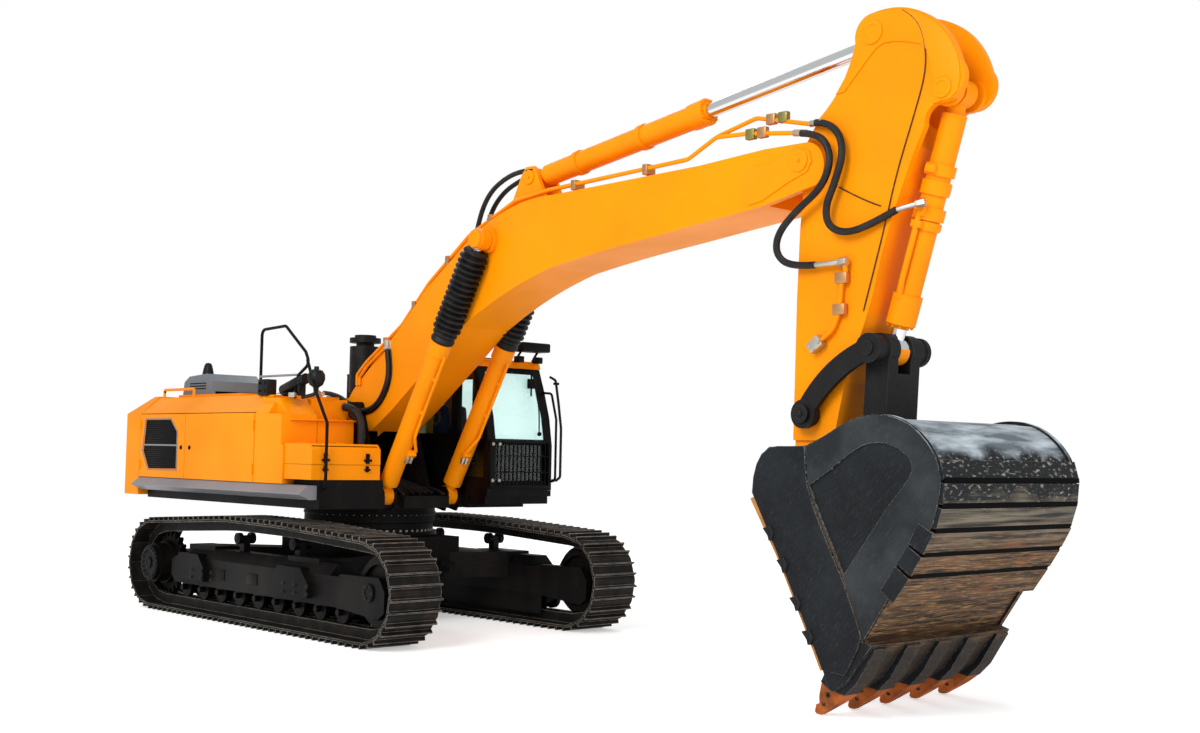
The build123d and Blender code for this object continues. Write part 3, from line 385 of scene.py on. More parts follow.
@dataclass(frozen=True)
class Graph:
    """The node tree of a material or of the world while it is built."""

    tree: Tree
    shader: bpy.types.Node | None = None
    where: Socket | None = None

    def feed(self, socket: Socket, value: object) -> None:
        """Links value into an input socket if it is an output, or else sets it there."""
        if isinstance(value, Socket):
            self.tree.links.new(value, socket)
        else:
            socket.default_value = value

    def give(self, **values: object) -> None:
        """Feeds the shader's inputs, named with _ for a space."""
        for name, value in values.items():
            self.feed(self.shader.inputs[name.replace("_", " ")], value)

    def add(self, kind: str, settings: dict | None = None, **links: object) -> bpy.types.Node:
        """Adds a shader node with its settings and links.

        Args:
            kind: The node's type, without its ShaderNode prefix.
            settings: Values of the node's own properties.
            **links: A value or an output for each input, by name with _ for a space, or by number as i0, i1.

        Returns:
            The new node.
        """
        made = self.tree.nodes.new("ShaderNode" + kind)
        for key, value in (settings or {}).items():
            setattr(made, key, value)
        for key, value in links.items():
            by_number = key[0] == "i" and key[1:].isdigit()
            self.feed(made.inputs[int(key[1:]) if by_number else key.replace("_", " ")], value)
        return made

    def noise(self, size_mm: float, stretch: Place = (1, 1, 1), detail: float = 4.0,
              where: Socket | None = None) -> Socket:
        """Noise in patches.

        Args:
            size_mm: The size of a patch.
            stretch: How many times longer a patch is along X, Y and Z.
            detail: How many finer layers it has.
            where: Coordinates to use instead of the object's own.

        Returns:
            The noise value's socket.
        """
        mapping = self.add("Mapping", Vector=self.where if where is None else where,
                           Scale=tuple(1 / s for s in stretch))
        made = self.add("TexNoise", Vector=mapping.outputs[0], Scale=1 / (size_mm * MM), Detail=detail)
        return made.outputs["Fac"]

    def ramp(self, value: Socket, low: float, high: float, to: tuple[float, float] = (0.0, 1.0)) -> Socket:
        """Maps value from low..high to the range to, clamped."""
        made = self.add("MapRange", {"clamp": True}, Value=value, From_Min=low, From_Max=high, To_Min=to[0],
                        To_Max=to[1])
        return made.outputs[0]

    def maths(self, what: str, a: object, b: object = 0.0) -> Socket:
        """The result of a Math node on a and b."""
        return self.add("Math", {"operation": what, "use_clamp": False}, i0=a, i1=b).outputs[0]

    def times(self, a: object, b: object) -> Socket:
        """a times b."""
        return self.maths("MULTIPLY", a, b)

    def mix(self, share: object, a: object, b: object) -> Socket:
        """Colour a turned into colour b by share; a colour is an output or a hex string."""
        a, b = (linear(colour) if isinstance(colour, str) else colour for colour in (a, b))
        return self.add("Mix", {"data_type": "RGBA"}, i0=share, i6=a, i7=b).outputs[2]

    def edge_share(self, width_mm: float) -> Socket:
        """How near a point is to a sharp edge: 0 on a flat, 1 on the edge itself."""
        soft = self.add("Bevel", {"samples": 4}, Radius=width_mm * MM)
        true = self.add("NewGeometry")
        same = self.add("VectorMath", {"operation": "DOT_PRODUCT"}, i0=soft.outputs[0],
                        i1=true.outputs["True Normal"])
        return self.ramp(same.outputs["Value"], 0.995, 0.86)

    def bump(self, height: Socket, deep_mm: float) -> None:
        """Raises the surface by height times deep_mm."""
        self.give(Normal=self.add("Bump", Height=height, Distance=deep_mm * MM, Strength=1.0).outputs[0])


@dataclass(frozen=True)
class Finish:
    """What every finish has: a name, a colour and a sheen."""

    name: str
    colour: str
    roughness: float = 0.4
    gloss: float = 0.3

    def paint(self, graph: Graph) -> None:
        """Adds what makes the finish more than one even colour."""

    def build(self) -> bpy.types.Material:
        """The finished material."""
        material = bpy.data.materials.new(self.name)
        material.use_nodes = True
        tree = material.node_tree
        tree.nodes.clear()
        shader = Graph(tree).add("BsdfPrincipled", Base_Color=linear(self.colour), Roughness=self.roughness,
                                 Specular_IOR_Level=self.gloss)
        graph = Graph(tree, shader, Graph(tree).add("TexCoord").outputs["Object"])
        graph.add("OutputMaterial", i0=shader.outputs[0])
        self.paint(graph)
        return material


@dataclass(frozen=True)
class Enamel(Finish):
    """Sprayed enamel on steel: an even colour with a soft gloss, slight orange peel, and dust in patches."""

    coat: float = 0.06
    dust: str = "#8C7355"
    dusty: float = 0.0
    peel_mm: float = 14.0

    def paint(self, graph: Graph) -> None:
        """Adds faded patches, dust and orange peel."""
        broad = graph.noise(900.0, detail=2.0)
        base = linear(self.colour)
        deep = (*(c * 0.86 for c in base[:3]), 1.0)
        colour = graph.mix(graph.ramp(broad, 0.35, 0.7), base, deep)
        if self.dusty:
            film = graph.noise(260.0, (1, 1, 2.5), 8.0)
            speck = graph.noise(30.0, detail=6.0)
            share = graph.times(graph.ramp(film, 0.45, 0.75), graph.ramp(speck, 0.3, 0.65))
            colour = graph.mix(graph.times(share, self.dusty), colour, self.dust)
        sheen = graph.ramp(broad, 0.3, 0.7, (self.roughness * 0.85, self.roughness * 1.2))
        graph.give(Base_Color=colour, Roughness=sheen, Coat_Weight=self.coat, Coat_Roughness=0.12)
        graph.bump(graph.noise(self.peel_mm, detail=2.0), 0.25)


@dataclass(frozen=True)
class WornSteel(Finish):
    """Cast or rolled steel, dark with earth in its hollows and rubbed bright along its edges."""

    earth: str = "#4A3A2C"
    bright: str = "#A79E93"
    earthy: float = 0.5
    rubbed: float = 0.8
    edge_mm: float = 7.0

    def paint(self, graph: Graph) -> None:
        """Adds earth in patches, bright edges and a gritty surface."""
        patches = graph.noise(140.0, detail=8.0)
        grit = graph.noise(9.0, detail=5.0)
        share = graph.times(graph.ramp(patches, 0.42, 0.68), self.earthy)
        colour = graph.mix(share, self.colour, self.earth)
        edge = graph.times(graph.edge_share(self.edge_mm), graph.ramp(patches, 0.3, 0.55, (0.35, 1.0)))
        edge = graph.times(edge, self.rubbed)
        graph.give(Base_Color=graph.mix(edge, colour, self.bright),
                   Metallic=graph.ramp(edge, 0.0, 1.0, (0.0, 0.7)),
                   Roughness=graph.ramp(grit, 0.3, 0.7, (self.roughness, self.roughness + 0.25)))
        graph.bump(grit, 0.9)


@dataclass(frozen=True)
class Metal(Finish):
    """Bare or plated metal: even, with very fine turning or wiping marks."""

    mark_mm: float = 3.0
    deep_mm: float = 0.05

    def paint(self, graph: Graph) -> None:
        """Adds the fine marks."""
        marks = graph.noise(self.mark_mm, detail=3.0)
        graph.give(Metallic=1.0,
                   Roughness=graph.ramp(marks, 0.3, 0.7, (self.roughness * 0.8, self.roughness * 1.3)))
        graph.bump(marks, self.deep_mm)


@dataclass(frozen=True)
class Moulded(Finish):
    """Rubber or plastic: matt, with a fine grain and a little dust in broad patches."""

    grain_mm: float = 2.5
    deep_mm: float = 0.3
    dust: str = "#5B554D"
    dusty: float = 0.15

    def paint(self, graph: Graph) -> None:
        """Adds the dust and the grain."""
        share = graph.times(graph.ramp(graph.noise(120.0, detail=6.0), 0.45, 0.75), self.dusty)
        graph.give(Base_Color=graph.mix(share, self.colour, self.dust))
        graph.bump(graph.noise(self.grain_mm, detail=2.0), self.deep_mm)


@dataclass(frozen=True)
class Pane(Finish):
    """Safety glass, a lens, or a pale sheet that paints a reflection and glows, with a thin haze in patches."""

    clear: float = 1.0
    # how strongly the pane glows in its own colour: a painted glow, used for the windscreen's painted reflection
    lit: float = 0.0

    def paint(self, graph: Graph) -> None:
        """Lets light through, and adds the haze and the painted glow."""
        haze = graph.ramp(graph.noise(180.0, detail=5.0), 0.5, 0.8, (self.roughness, self.roughness + 0.05))
        graph.give(Transmission_Weight=self.clear, Emission_Color=linear(self.colour),
                   Emission_Strength=self.lit, IOR=1.45, Roughness=haze)


@dataclass(frozen=True)
class Dug(Finish):
    """A digging bucket: scoured enamel on its sides, and bands of earth and wear down its back, with a painted
    highlight, a pale blue-grey sheen, near its top.
    """

    worn: str = "#34383B"
    worn_share: float = 0.4
    scour: str = "#7A7E80"

    def sides(self, graph: Graph) -> tuple[Socket, Socket]:
        """The colour of the sides, and the fine scratches in it."""
        slant = graph.add("Mapping", Vector=graph.where, Rotation=(0, math.radians(-40), 0)).outputs[0]
        scratch = graph.noise(4.0, (1, 1, 26), 3.0, slant)
        patch = graph.times(graph.ramp(graph.noise(420.0, detail=7.0), 0.42, 0.66), self.worn_share)
        colour = graph.mix(patch, self.colour, self.worn)
        return graph.mix(graph.ramp(scratch, 0.6, 0.76, (0.0, 0.28)), colour, self.scour), scratch

    def back(self, graph: Graph) -> tuple[Socket, Socket]:
        """The colour of the back, from a painted highlight at the top to the dark lip, and its streaks."""
        height = graph.add("SeparateXYZ", Vector=graph.where).outputs["Z"]
        cloud = graph.maths("SUBTRACT", graph.noise(240.0, detail=6.0), 0.5)
        height = graph.maths("ADD", height, graph.times(cloud, 0.3))
        wide = graph.noise(26.0, (1, 34, 1), 7.0)
        fine = graph.noise(8.0, (1, 22, 1), 5.0)
        chips = graph.noise(24.0, (1, 2.4, 1), 9.0)
        rust = graph.noise(120.0, (1, 3, 1), 6.0)
        highlight_noise = graph.noise(110.0, (1, 6, 1), 7.0)
        earth = graph.mix(graph.ramp(wide, 0.4, 0.62), "#241A12", "#6B4E33")
        earth = graph.mix(graph.ramp(fine, 0.52, 0.7, (0.0, 0.75)), earth, "#B48C5C")
        earth = graph.mix(graph.ramp(rust, 0.58, 0.72, (0.0, 0.7)), earth, "#84481F")
        tan = graph.mix(graph.ramp(wide, 0.4, 0.6, (0.0, 0.85)), "#2B2B29", "#857A68")
        dark = graph.mix(graph.ramp(chips, 0.57, 0.68, (0.0, 0.7)), "#17191C", "#A9A79F")
        # painted highlight: a pale blue-grey band along the top of the back, streaked along Y
        sheen = graph.mix(graph.ramp(highlight_noise, 0.4, 0.62), "#5D6870", "#B7C3CA")
        lip = graph.mix(wide, "#15110E", "#3B3027")
        colour = earth
        # each band takes over between two heights, in metres
        for band, start, full in ((tan, 1.2, 1.5), (dark, 1.56, 1.7), (sheen, 1.94, 2.04), (lip, 0.66, 0.5)):
            colour = graph.mix(graph.ramp(height, start, full), colour, band)
        return colour, wide

    def paint(self, graph: Graph) -> None:
        """Adds the sides' and the back's colours, bright edges, scratches and streaks."""
        normal = graph.add("SeparateXYZ", Vector=graph.add("NewGeometry").outputs["True Normal"])
        side = graph.ramp(graph.maths("ABSOLUTE", normal.outputs["Y"]), 0.5, 0.8)
        flat, scratch = self.sides(graph)
        curved, streak = self.back(graph)
        colour = graph.mix(side, curved, flat)
        chips = graph.noise(24.0, detail=8.0)
        edge = graph.times(graph.edge_share(9.0), graph.ramp(chips, 0.42, 0.6, (0.0, 0.6)))
        graph.give(Base_Color=graph.mix(edge, colour, "#8F8D88"),
                   Roughness=graph.ramp(chips, 0.3, 0.7, (self.roughness, self.roughness + 0.25)))
        graph.bump(graph.maths("ADD", graph.times(scratch, side), graph.times(streak, 0.6)), 0.8)


class Look(Enum):
    """The machine's finishes."""

    ORANGE = Enamel("enamel, amber orange on steel", "#FF9500", 0.42, 0.1, coat=0.03, dusty=0.04)
    BLACK = Enamel("enamel, satin black on steel", "#030304", 0.42, 0.12, coat=0.02, dusty=0.03)
    CHASSIS = Enamel("enamel, black on rolled steel, dusty", "#070606", 0.5, 0.14, coat=0.0, dust="#2A2019",
                     dusty=0.5)
    GREY = Enamel("enamel, grey on folded steel", "#85868B", 0.42, 0.25, dusty=0.12)
    TRACK = WornSteel("rolled steel shoes, worn bright", "#0B0A09", 0.5, 0.22, earth="#33281F",
                      bright="#B9B2A8", earthy=0.45, rubbed=1.0, edge_mm=9.0)
    CAST = WornSteel("cast steel, blackened", "#0E0E10", 0.48, 0.25, earth="#24201D", bright="#6C6A68",
                     earthy=0.3, rubbed=0.35)
    TOOTH = WornSteel("cast steel, rusted by digging", "#B4602A", 0.7, 0.15, earth="#5E3216",
                      bright="#D09A68", earthy=0.8, rubbed=0.4, edge_mm=5.0)
    SANDED = WornSteel("wear plate, sanded bright along its edge", "#B27A3E", 0.6, 0.2, earth="#7A4A22",
                       bright="#D8A872", earthy=0.7, rubbed=0.5)
    BUCKET = Dug("wear plate, scoured and muddy", "#0E1216", 0.5, 0.2, "#23282D", 0.4)
    BUCKET_RIM = Dug("wear plate, scoured bright along its rim", "#1C2023", 0.5, 0.2, "#3C4042", 0.6)
    ENGINE = Enamel("enamel, engine grey on cast iron", "#4A4C4E", 0.5, coat=0.0, dusty=0.3)
    CHROME = Metal("hard chrome on a turned rod", "#E4E6E8", 0.1, 0.5, 6.0, 0.01)
    ZINC = Metal("zinc plate on steel", "#C9C5BA", 0.38, 0.5)
    BRASSY = Metal("yellow zinc plate on a clamp", "#C9996A", 0.42, 0.5)
    OLIVE = Metal("olive chromate on a coupling", "#9C9458", 0.42, 0.5)
    RUBBER = Moulded("nitrile rubber, moulded", "#08080A", 0.5, 0.3)
    HOSE = Moulded("rubber hose in spiral wrap", "#0C0C10", 0.45, 0.35, grain_mm=4.0)
    PLASTIC = Moulded("polypropylene, black moulded", "#0C0E10", 0.45, 0.2)
    VENT = Moulded("polyester moulding, grey", "#6C757C", 0.5, 0.3, dusty=0.2)
    CLOTH = Moulded("polyester cloth, dark blue weave", "#16233F", 0.85, 0.2, grain_mm=1.8, deep_mm=0.5)
    GLASS = Pane("safety glass, lightly tinted", "#EDFDFB", 0.0, 0.5)
    # painted reflection: a pale sheet that glows, standing for the sky reflected in the windscreen
    PAINTED_REFLECTION = Pane("sun film on the windscreen, pale blue-green", "#DDF8F6", 0.25, 0.3, clear=0.35, lit=0.24)
    LENS = Pane("polycarbonate lens, clear", "#F2F4F4", 0.05, 0.5)
    DARK = Finish("unlit gap, black", "#020202", 0.9, 0.1)

    def material(self) -> bpy.types.Material:
        """The finish's material, built once."""
        return bpy.data.materials.get(self.value.name) or self.value.build()


def done(pieces: Mesh | Sequence[Mesh], name: str, look: Look, body: str,
         smooth: bool = True) -> Mesh:
    """Joins a piece's parts, gives it its finish and puts it on its body.

    Args:
        pieces: One object or several that make up the piece.
        name: The piece's name.
        look: Its finish.
        body: The CAD body that it rides on.
        smooth: Whether its shallow edges are shaded smooth.

    Returns:
        The finished piece.
    """
    piece = join(list(pieces)) if isinstance(pieces, (list, tuple)) else pieces
    piece.name = name
    piece.data.name = name
    piece.data.materials.clear()
    piece.data.materials.append(look.material())
    select_only(piece)
    if smooth:
        bpy.ops.object.shade_smooth_by_angle(angle=SMOOTH_ANGLE)
    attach(piece, body)
    log.info("%s: %d faces on %s", name, len(piece.data.polygons), body)
    return piece


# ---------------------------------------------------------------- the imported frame's own finishes
@dataclass(frozen=True)
class FrameDress:
    """Which finish each CAD node wears, by its material slot in the record."""

    looks: tuple[tuple[str, Look], ...] = (
        ("body_orange", Look.ORANGE), ("undercarriage_black", Look.CHASSIS), ("frame_black", Look.CHASSIS),
        ("track_steel", Look.TRACK), ("engine_grey", Look.ENGINE), ("skirt_grey", Look.GREY),
        ("stack_black", Look.PLASTIC), ("rail_black", Look.BLACK), ("cab_black", Look.BLACK),
        ("cab_glass", Look.GLASS), ("seat_fabric", Look.CLOTH), ("console_plastic", Look.PLASTIC),
        ("bucket_steel", Look.BUCKET), ("tooth_steel", Look.TOOTH), ("chrome_rod", Look.CHROME),
        ("link_black", Look.CAST))

    def dress(self) -> None:
        """Gives every CAD node its finish."""
        looks = dict(self.looks)
        for row in frame["record"]["subparts"]:
            node = frame["nodes"][row["node"]]
            node.data.materials.clear()
            node.data.materials.append(looks[row["material_slot"]].material())


# ---------------------------------------------------------------- cylinders
@dataclass(frozen=True)
class Ram:
    """A hydraulic cylinder as the frame holds it: its foot, its rod's eye and how far its barrel reaches."""

    foot: Vector
    eye: Vector
    barrel_r: float
    rod_r: float
    barrel_l: float

    @property
    def axis(self) -> Vector:
        """The unit vector from foot to eye."""
        return (self.eye - self.foot).normalized()

    @property
    def front(self) -> Vector:
        """The unit vector square to the axis in the X-Z plane, on the side away from +Z."""
        return Vector((self.axis.z, 0, -self.axis.x))

    def along(self, reach: float, out: float = 0.0, y: float = 0.0) -> Vector:
        """A place a reach along the axis from the foot, out from it to the front, and off to +Y."""
        return self.foot + self.axis * reach + self.front * out + LEFT * y

    def band(self, reach: float, width: float, proud: float = 14.0) -> Mesh:
        """A clamp band round the barrel."""
        r = self.barrel_r
        ring = ((r - 1, 0), (r + proud, 0), (r + proud, width), (r - 1, width))
        return lathe(ring, self.along(reach), self.axis)

    def lug(self, reach: float, length: float, y0: float, y1: float, out: float = 45.0) -> Mesh:
        """A block beside the barrel, square to its axis."""
        end = reach + length
        spots = [self.along(*corner) for corner in ((reach, -out), (reach, out), (end, out), (end, -out))]
        return plate([(spot.x, spot.z) for spot in spots], self.foot.y + y0, self.foot.y + y1, 6)

    def painted_eye(self, half: float) -> list[Mesh]:
        """The painted eye round the rod's pin."""
        ring = ((57, -half - 3), (99, -half - 3), (111, -half + 9), (111, half - 9), (99, half + 3),
                (57, half + 3))
        return [lathe(ring, self.eye, LEFT)]

    def gland(self) -> list[Mesh]:
        """The gland's flange, its ring of bolts and the wiper round the rod."""
        r = self.barrel_r + 16
        end = self.along(self.barrel_l)
        flange = lathe([(self.rod_r + 3, 0), (r, 0), (r, 34), (r - 10, 42), (self.rod_r + 3, 42)],
                       end - self.axis * 22, self.axis)
        wiper = lathe([(self.rod_r + 2, 0), (self.rod_r + 18, 0), (self.rod_r + 12, 26),
                       (self.rod_r + 2, 26)],
                      end + self.axis * 18, self.axis)
        return [flange, wiper, *bolts(ring_of(end + self.axis * 20, self.axis, r - 18, 10), self.axis, 22,
                                      14)]


@dataclass(frozen=True)
class CylinderTrim:
    """Boots, glands, bands, painted eyes and small pipes of the cylinders."""

    pleats: int = 17
    boot_r: tuple[float, float] = (112.0, 150.0)
    # each cylinder's barrel hinge, rod slide and y, then foot to eye, barrel and rod radius, barrel length
    sizes: tuple[tuple[str, str, str, float, float, float, float, float], ...] = (
        ("right", "boom_barrels_swing", "boom_rods_slide", -432, 3085, 103, 58, 1900),
        ("left", "boom_barrels_swing", "boom_rods_slide", 432, 3085, 103, 58, 1900),
        ("arm", "arm_barrel_swing", "arm_rod_slide", 0, 4342, 110, 65, 2330),
        ("bucket", "bucket_barrel_swing", "bucket_rod_slide", 0, 2062, 98, 60, 1830))

    def rams(self) -> dict[str, Ram]:
        """Every cylinder, by its name."""
        made = {}
        for name, hinge, slide, y, reach, *rest in self.sizes:
            foot = pivot(hinge) + LEFT * y
            made[name] = Ram(foot, foot + Vector(JOINTS[slide]["axis"]) * reach, *rest)
        return made

    def boot(self, ram: Ram) -> Mesh:
        """The pleated rubber boot from a boom cylinder's gland to its rod's eye."""
        low, high = self.boot_r
        start, end = ram.barrel_l + 6, (ram.eye - ram.foot).length - 118
        pitch = (end - start) / self.pleats
        outer = [(ram.barrel_r + 20, 0), (ram.barrel_r + 26, pitch * 0.4)]
        for k in range(1, self.pleats):
            grown = min(1.0, k / 2, (self.pleats - k) / 2)
            crest = low + (high - low) * grown
            outer += [(low, (k + 0.05) * pitch), (crest, (k + 0.38) * pitch), (crest, (k + 0.62) * pitch),
                      (low, (k + 0.95) * pitch)]
        outer += [(low - 20, end - start), (ram.rod_r + 6, end - start)]
        return lathe([*outer, (ram.rod_r + 6, 0)], ram.along(start), ram.axis, 28)

    def boom_pipes(self, ram: Ram, side: int) -> list[Mesh]:
        """The steel pipe down a boom cylinder's front, its saddles, and the manifold on the inner side."""
        out, inner = ram.barrel_r + 30, -side
        route = ((1770, ram.barrel_r), (1770, out), (1000, out), (820, out + 4), (640, out, inner * 90))
        pipe = hose([ram.along(*spot) for spot in route], 17, 60)
        saddles = [drum(ram.along(s, ram.barrel_r - 12), ram.along(s, out + 4), 26, 12) for s in (1100, 1500)]
        block = drum(ram.along(600, out - 24, inner * 10), ram.along(600, out - 24, inner * 104), 42, 6, 5)
        return [pipe, *saddles, block]

    def build(self) -> None:
        """Builds every cylinder's trim."""
        rams = self.rams()
        for side, hand in SIDES:
            ram = rams[hand]
            boot = done(self.boot(ram), f"boom_rod_boot_{hand}", Look.RUBBER, "boom_rods")
            boot.parent = None
            at(*ram.along(ram.barrel_l + 40))
            at(*ram.along(2960))
            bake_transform(boot)
            done(self.boom_pipes(ram, side), f"boom_ram_pipes_{hand}", Look.ORANGE, "boom_barrels")
            nuts = [drum(ram.along(580, 110, -side * y), ram.along(490, 118, -side * y), 22, 6)
                    for y in (30, 80)]
            done(nuts, f"boom_ram_unions_{hand}", Look.ZINC, "boom_barrels")
        eyes = [*rams["right"].painted_eye(62), *rams["left"].painted_eye(62)]
        for side, hand in SIDES:
            eye = rams[hand].eye
            eyes.append(drum(eye + LEFT * (side * 56), eye + LEFT * (side * 92), 94, 32, 6, 6))
        done(eyes, "boom_rod_eyes", Look.ORANGE, "boom_rods")
        arm, bucket = rams["arm"], rams["bucket"]
        done(bucket.painted_eye(75), "bucket_rod_eye", Look.ORANGE, "bucket_rod")
        bands = [arm.band(*sizes) for sizes in ((600, 60), (1500, 60), (2150, 90, 10))]
        done([*arm.gland(), *bands], "arm_ram_bands", Look.ORANGE, "arm_barrel")
        bands = [bucket.band(*sizes) for sizes in ((560, 90, 22), (690, 110, 18), (900, 100, 26),
                                                   (1010, 70, 16), (1600, 240, 20))]
        lugs = [bucket.lug(*sizes) for sizes in (
            (575, 60, -150, -84), (905, 70, -150, -84), (1015, 55, -150, -84), (700, 80, 84, 150),
            (1015, 55, 84, 150))]
        done([*bucket.gland(), *bands, *lugs], "bucket_ram_bands", Look.ORANGE, "bucket_barrel")
        route = ((930, 130), (1000, 128), (1500, 128), (1640, 105))
        pipes = [hose([bucket.along(reach, 0, side * y) for reach, y in route], 24, 50) for side, _ in SIDES]
        done(pipes, "bucket_ram_pipes", Look.ORANGE, "bucket_barrel")


# ---------------------------------------------------------------- boom
@dataclass(frozen=True)
class BoomTrim:
    """Steel pipes with their clamps along the boom, the hoses they feed, pin caps and tip plates."""

    half: float = 310.0
    pipe_r: float = 19.0
    # the two pipes' routes over the boom's back: x, z
    lower: Outline = (
        (330, 2960), (900, 3290), (1380, 3720), (2060, 4170), (2790, 4450), (3300, 4500), (5220, 4530),
        (5560, 4680), (5900, 4660), (6420, 4590))
    lower_y: float = -265.0
    upper_y: float = -190.0
    # from where to where along x the pipes move out, to pass the arm's head at the tip
    flare: tuple[float, float] = (3300.0, 5220.0)
    tip_lower_y: float = -318.0
    tip_upper_y: float = -276.0
    clamp_spots: Outline = (
        (620, 3128), (1140, 3500), (1720, 3945), (2420, 4310), (3700, 4506), (4700, 4522))

    def pipes(self) -> list[Mesh]:
        """Both long pipes and the two short ones behind the boom's bend."""
        out = self.flare[1]
        low = [(x, self.lower_y if x < out else self.tip_lower_y, z) for x, z in self.lower]
        high = [(x - 30, self.upper_y if x < out else self.tip_upper_y, z + 15) for x, z in self.lower[:-2]]
        high += [(5980, self.tip_upper_y, 4790), (6560, self.tip_upper_y, 4650)]
        left = [(x, -y, z) for x, y, z in low[:6]]
        return [hose(route, self.pipe_r, 70) for route in (low, high, left)]

    def foot_pipes(self) -> list[Mesh]:
        """The two pipes up the boom's near side, from its foot to the hoses' upper ends."""
        made = []
        for k in range(2):
            x, bend, drop = 150 + k * 50, k * 20, k * 45
            route = level(-self.half - 20, (
                (x, 2640), (x, 2760 - k * 30), (330 + bend, 2900 - drop), (640 + bend, 3075 - drop)))
            made.append(hose([*route, (735, -350 + k * 50, 3130)], 17, 60))
        return made

    def clamps(self) -> list[Mesh]:
        """The paired clamps that hold the pipes to the boom."""
        made = []
        for x, z in self.clamp_spots:
            share = max(0.0, (x - self.flare[0]) / (self.flare[1] - self.flare[0]))
            near = self.lower_y + share * (self.tip_lower_y - self.lower_y) - 34
            far = self.upper_y + share * (self.tip_upper_y - self.upper_y) + 34
            made.append(brick((x - 30, near, z - 60), (x + 30, far, z + 38), 6))
        return made

    def joints(self) -> tuple[list[Mesh], list[Mesh]]:
        """The couplings near the tip: copper-coloured clamps, and olive sleeves beside them."""
        copper, olive = [], []
        spots = ((5960, self.tip_lower_y, 4648, (olive, copper)),
                 (6150, self.tip_upper_y, 4760, (copper, olive)))
        for first, y, height, kinds in spots:
            for number, kind in enumerate(kinds):
                x = first + number * 130
                z = height - (x - 5900) * 0.025
                kind.append(brick((x - 48, y - 28, z - 46), (x + 48, y + 28, z + 46), 9))
        return copper, olive

    def caps(self) -> list[Mesh]:
        """Pin caps on both sides, with their keeper bolts."""
        made = []
        for joint, radius, y in (("arm_swing", 92, 334), ("boom_lift", 96, 398),
                                 ("arm_barrel_swing", 74, 150)):
            centre = pivot(joint)
            for side in (-1, 1):
                made.append(drum(centre + LEFT * (side * (y - 14)), centre + LEFT * (side * y), radius,
                                 32, 4, 5))
                made += bolts([centre + LEFT * (side * y)], LEFT * side, 26, 10)
        return made

    def plates(self) -> list[Mesh]:
        """Stiffening plates welded on the boom's sides at the tip."""
        tip = [(5900, 4330), (5960, 4370), (6180, 4368), (6230, 4400), (6480, 4460), (6580, 4420),
               (6610, 4330), (6560, 4250), (6380, 4190), (6080, 4060), (5930, 4040), (5900, 4080)]
        return [plate(tip, side * (self.half + 12), side * (self.half - 2), 5) for side in (-1, 1)]

    def build(self) -> None:
        """Builds the boom's trim."""
        done([*self.pipes(), *self.foot_pipes()], "boom_pipes", Look.ORANGE, "boom")
        done(self.clamps(), "boom_pipe_clamps", Look.BRASSY, "boom")
        copper, olive = self.joints()
        done(copper, "boom_tip_clamps", Look.BRASSY, "boom")
        done(olive, "boom_tip_sleeves", Look.OLIVE, "boom")
        done(self.caps(), "boom_pin_caps", Look.ORANGE, "boom")
        done(self.plates(), "boom_tip_plates", Look.ORANGE, "boom")
        self.hoses()

    def hoses(self) -> None:
        """The two loops of hose from the boom's tip to the arm, and those to the arm cylinder."""
        routes = {
            "arm_side_hose": [(6500, -320, 4575), (6600, -322, 4560), (6760, -335, 4480), (6830, -345, 4300),
                              (6740, -350, 4090), (6470, -345, 3930), (6270, -335, 3760), (6250, -325, 3590),
                              (6400, -310, 3480), (6640, -300, 3478)],
            "bucket_ram_hose": [(6620, -282, 4650), (6720, -290, 4640), (6880, -310, 4530),
                                (6930, -320, 4340), (6850, -330, 4110), (6760, -330, 3930),
                                (6790, -325, 3770), (6960, -310, 3700), (7200, -290, 3760),
                                (7400, -260, 3850)]}
        for name, route in routes.items():
            piece = done(hose(route, 30), name, Look.HOSE, "boom")
            piece.parent = None
            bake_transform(piece)
        ends = [((6420, -318, 4590), (6560, -321, 4567), 29), ((6560, -277, 4652), (6690, -287, 4644), 29)]
        done([drum(*end, 6) for end in ends], "boom_tip_fittings", Look.ZINC, "boom")
        arm_ends = [((6640, -300, 3478), (6900, -296, 3480), 24),
                    ((6880, -294, 3480), (6960, -296, 3484), 40),
                    ((7400, -260, 3850), (7560, -200, 3890), 22),
                    ((7540, -205, 3885), (7610, -180, 3900), 36)]
        done([drum(a, b, r, 6 if r > 30 else 16) for a, b, r in arm_ends], "arm_hose_fittings", Look.ZINC,
             "arm")
        route = ((1900, 1, 4160), (1960, 1, 4400), (2150, 1.3, 4640), (2450, 1.6, 4760), (2720, 1.8, 4790),
                 (2900, 1.9, 4770))
        for number, y in enumerate((-60, 60)):
            piece = hose([(x, y * share, z) for x, share, z in route], 26)
            done(piece, f"arm_ram_hose_{number}", Look.HOSE, "boom")


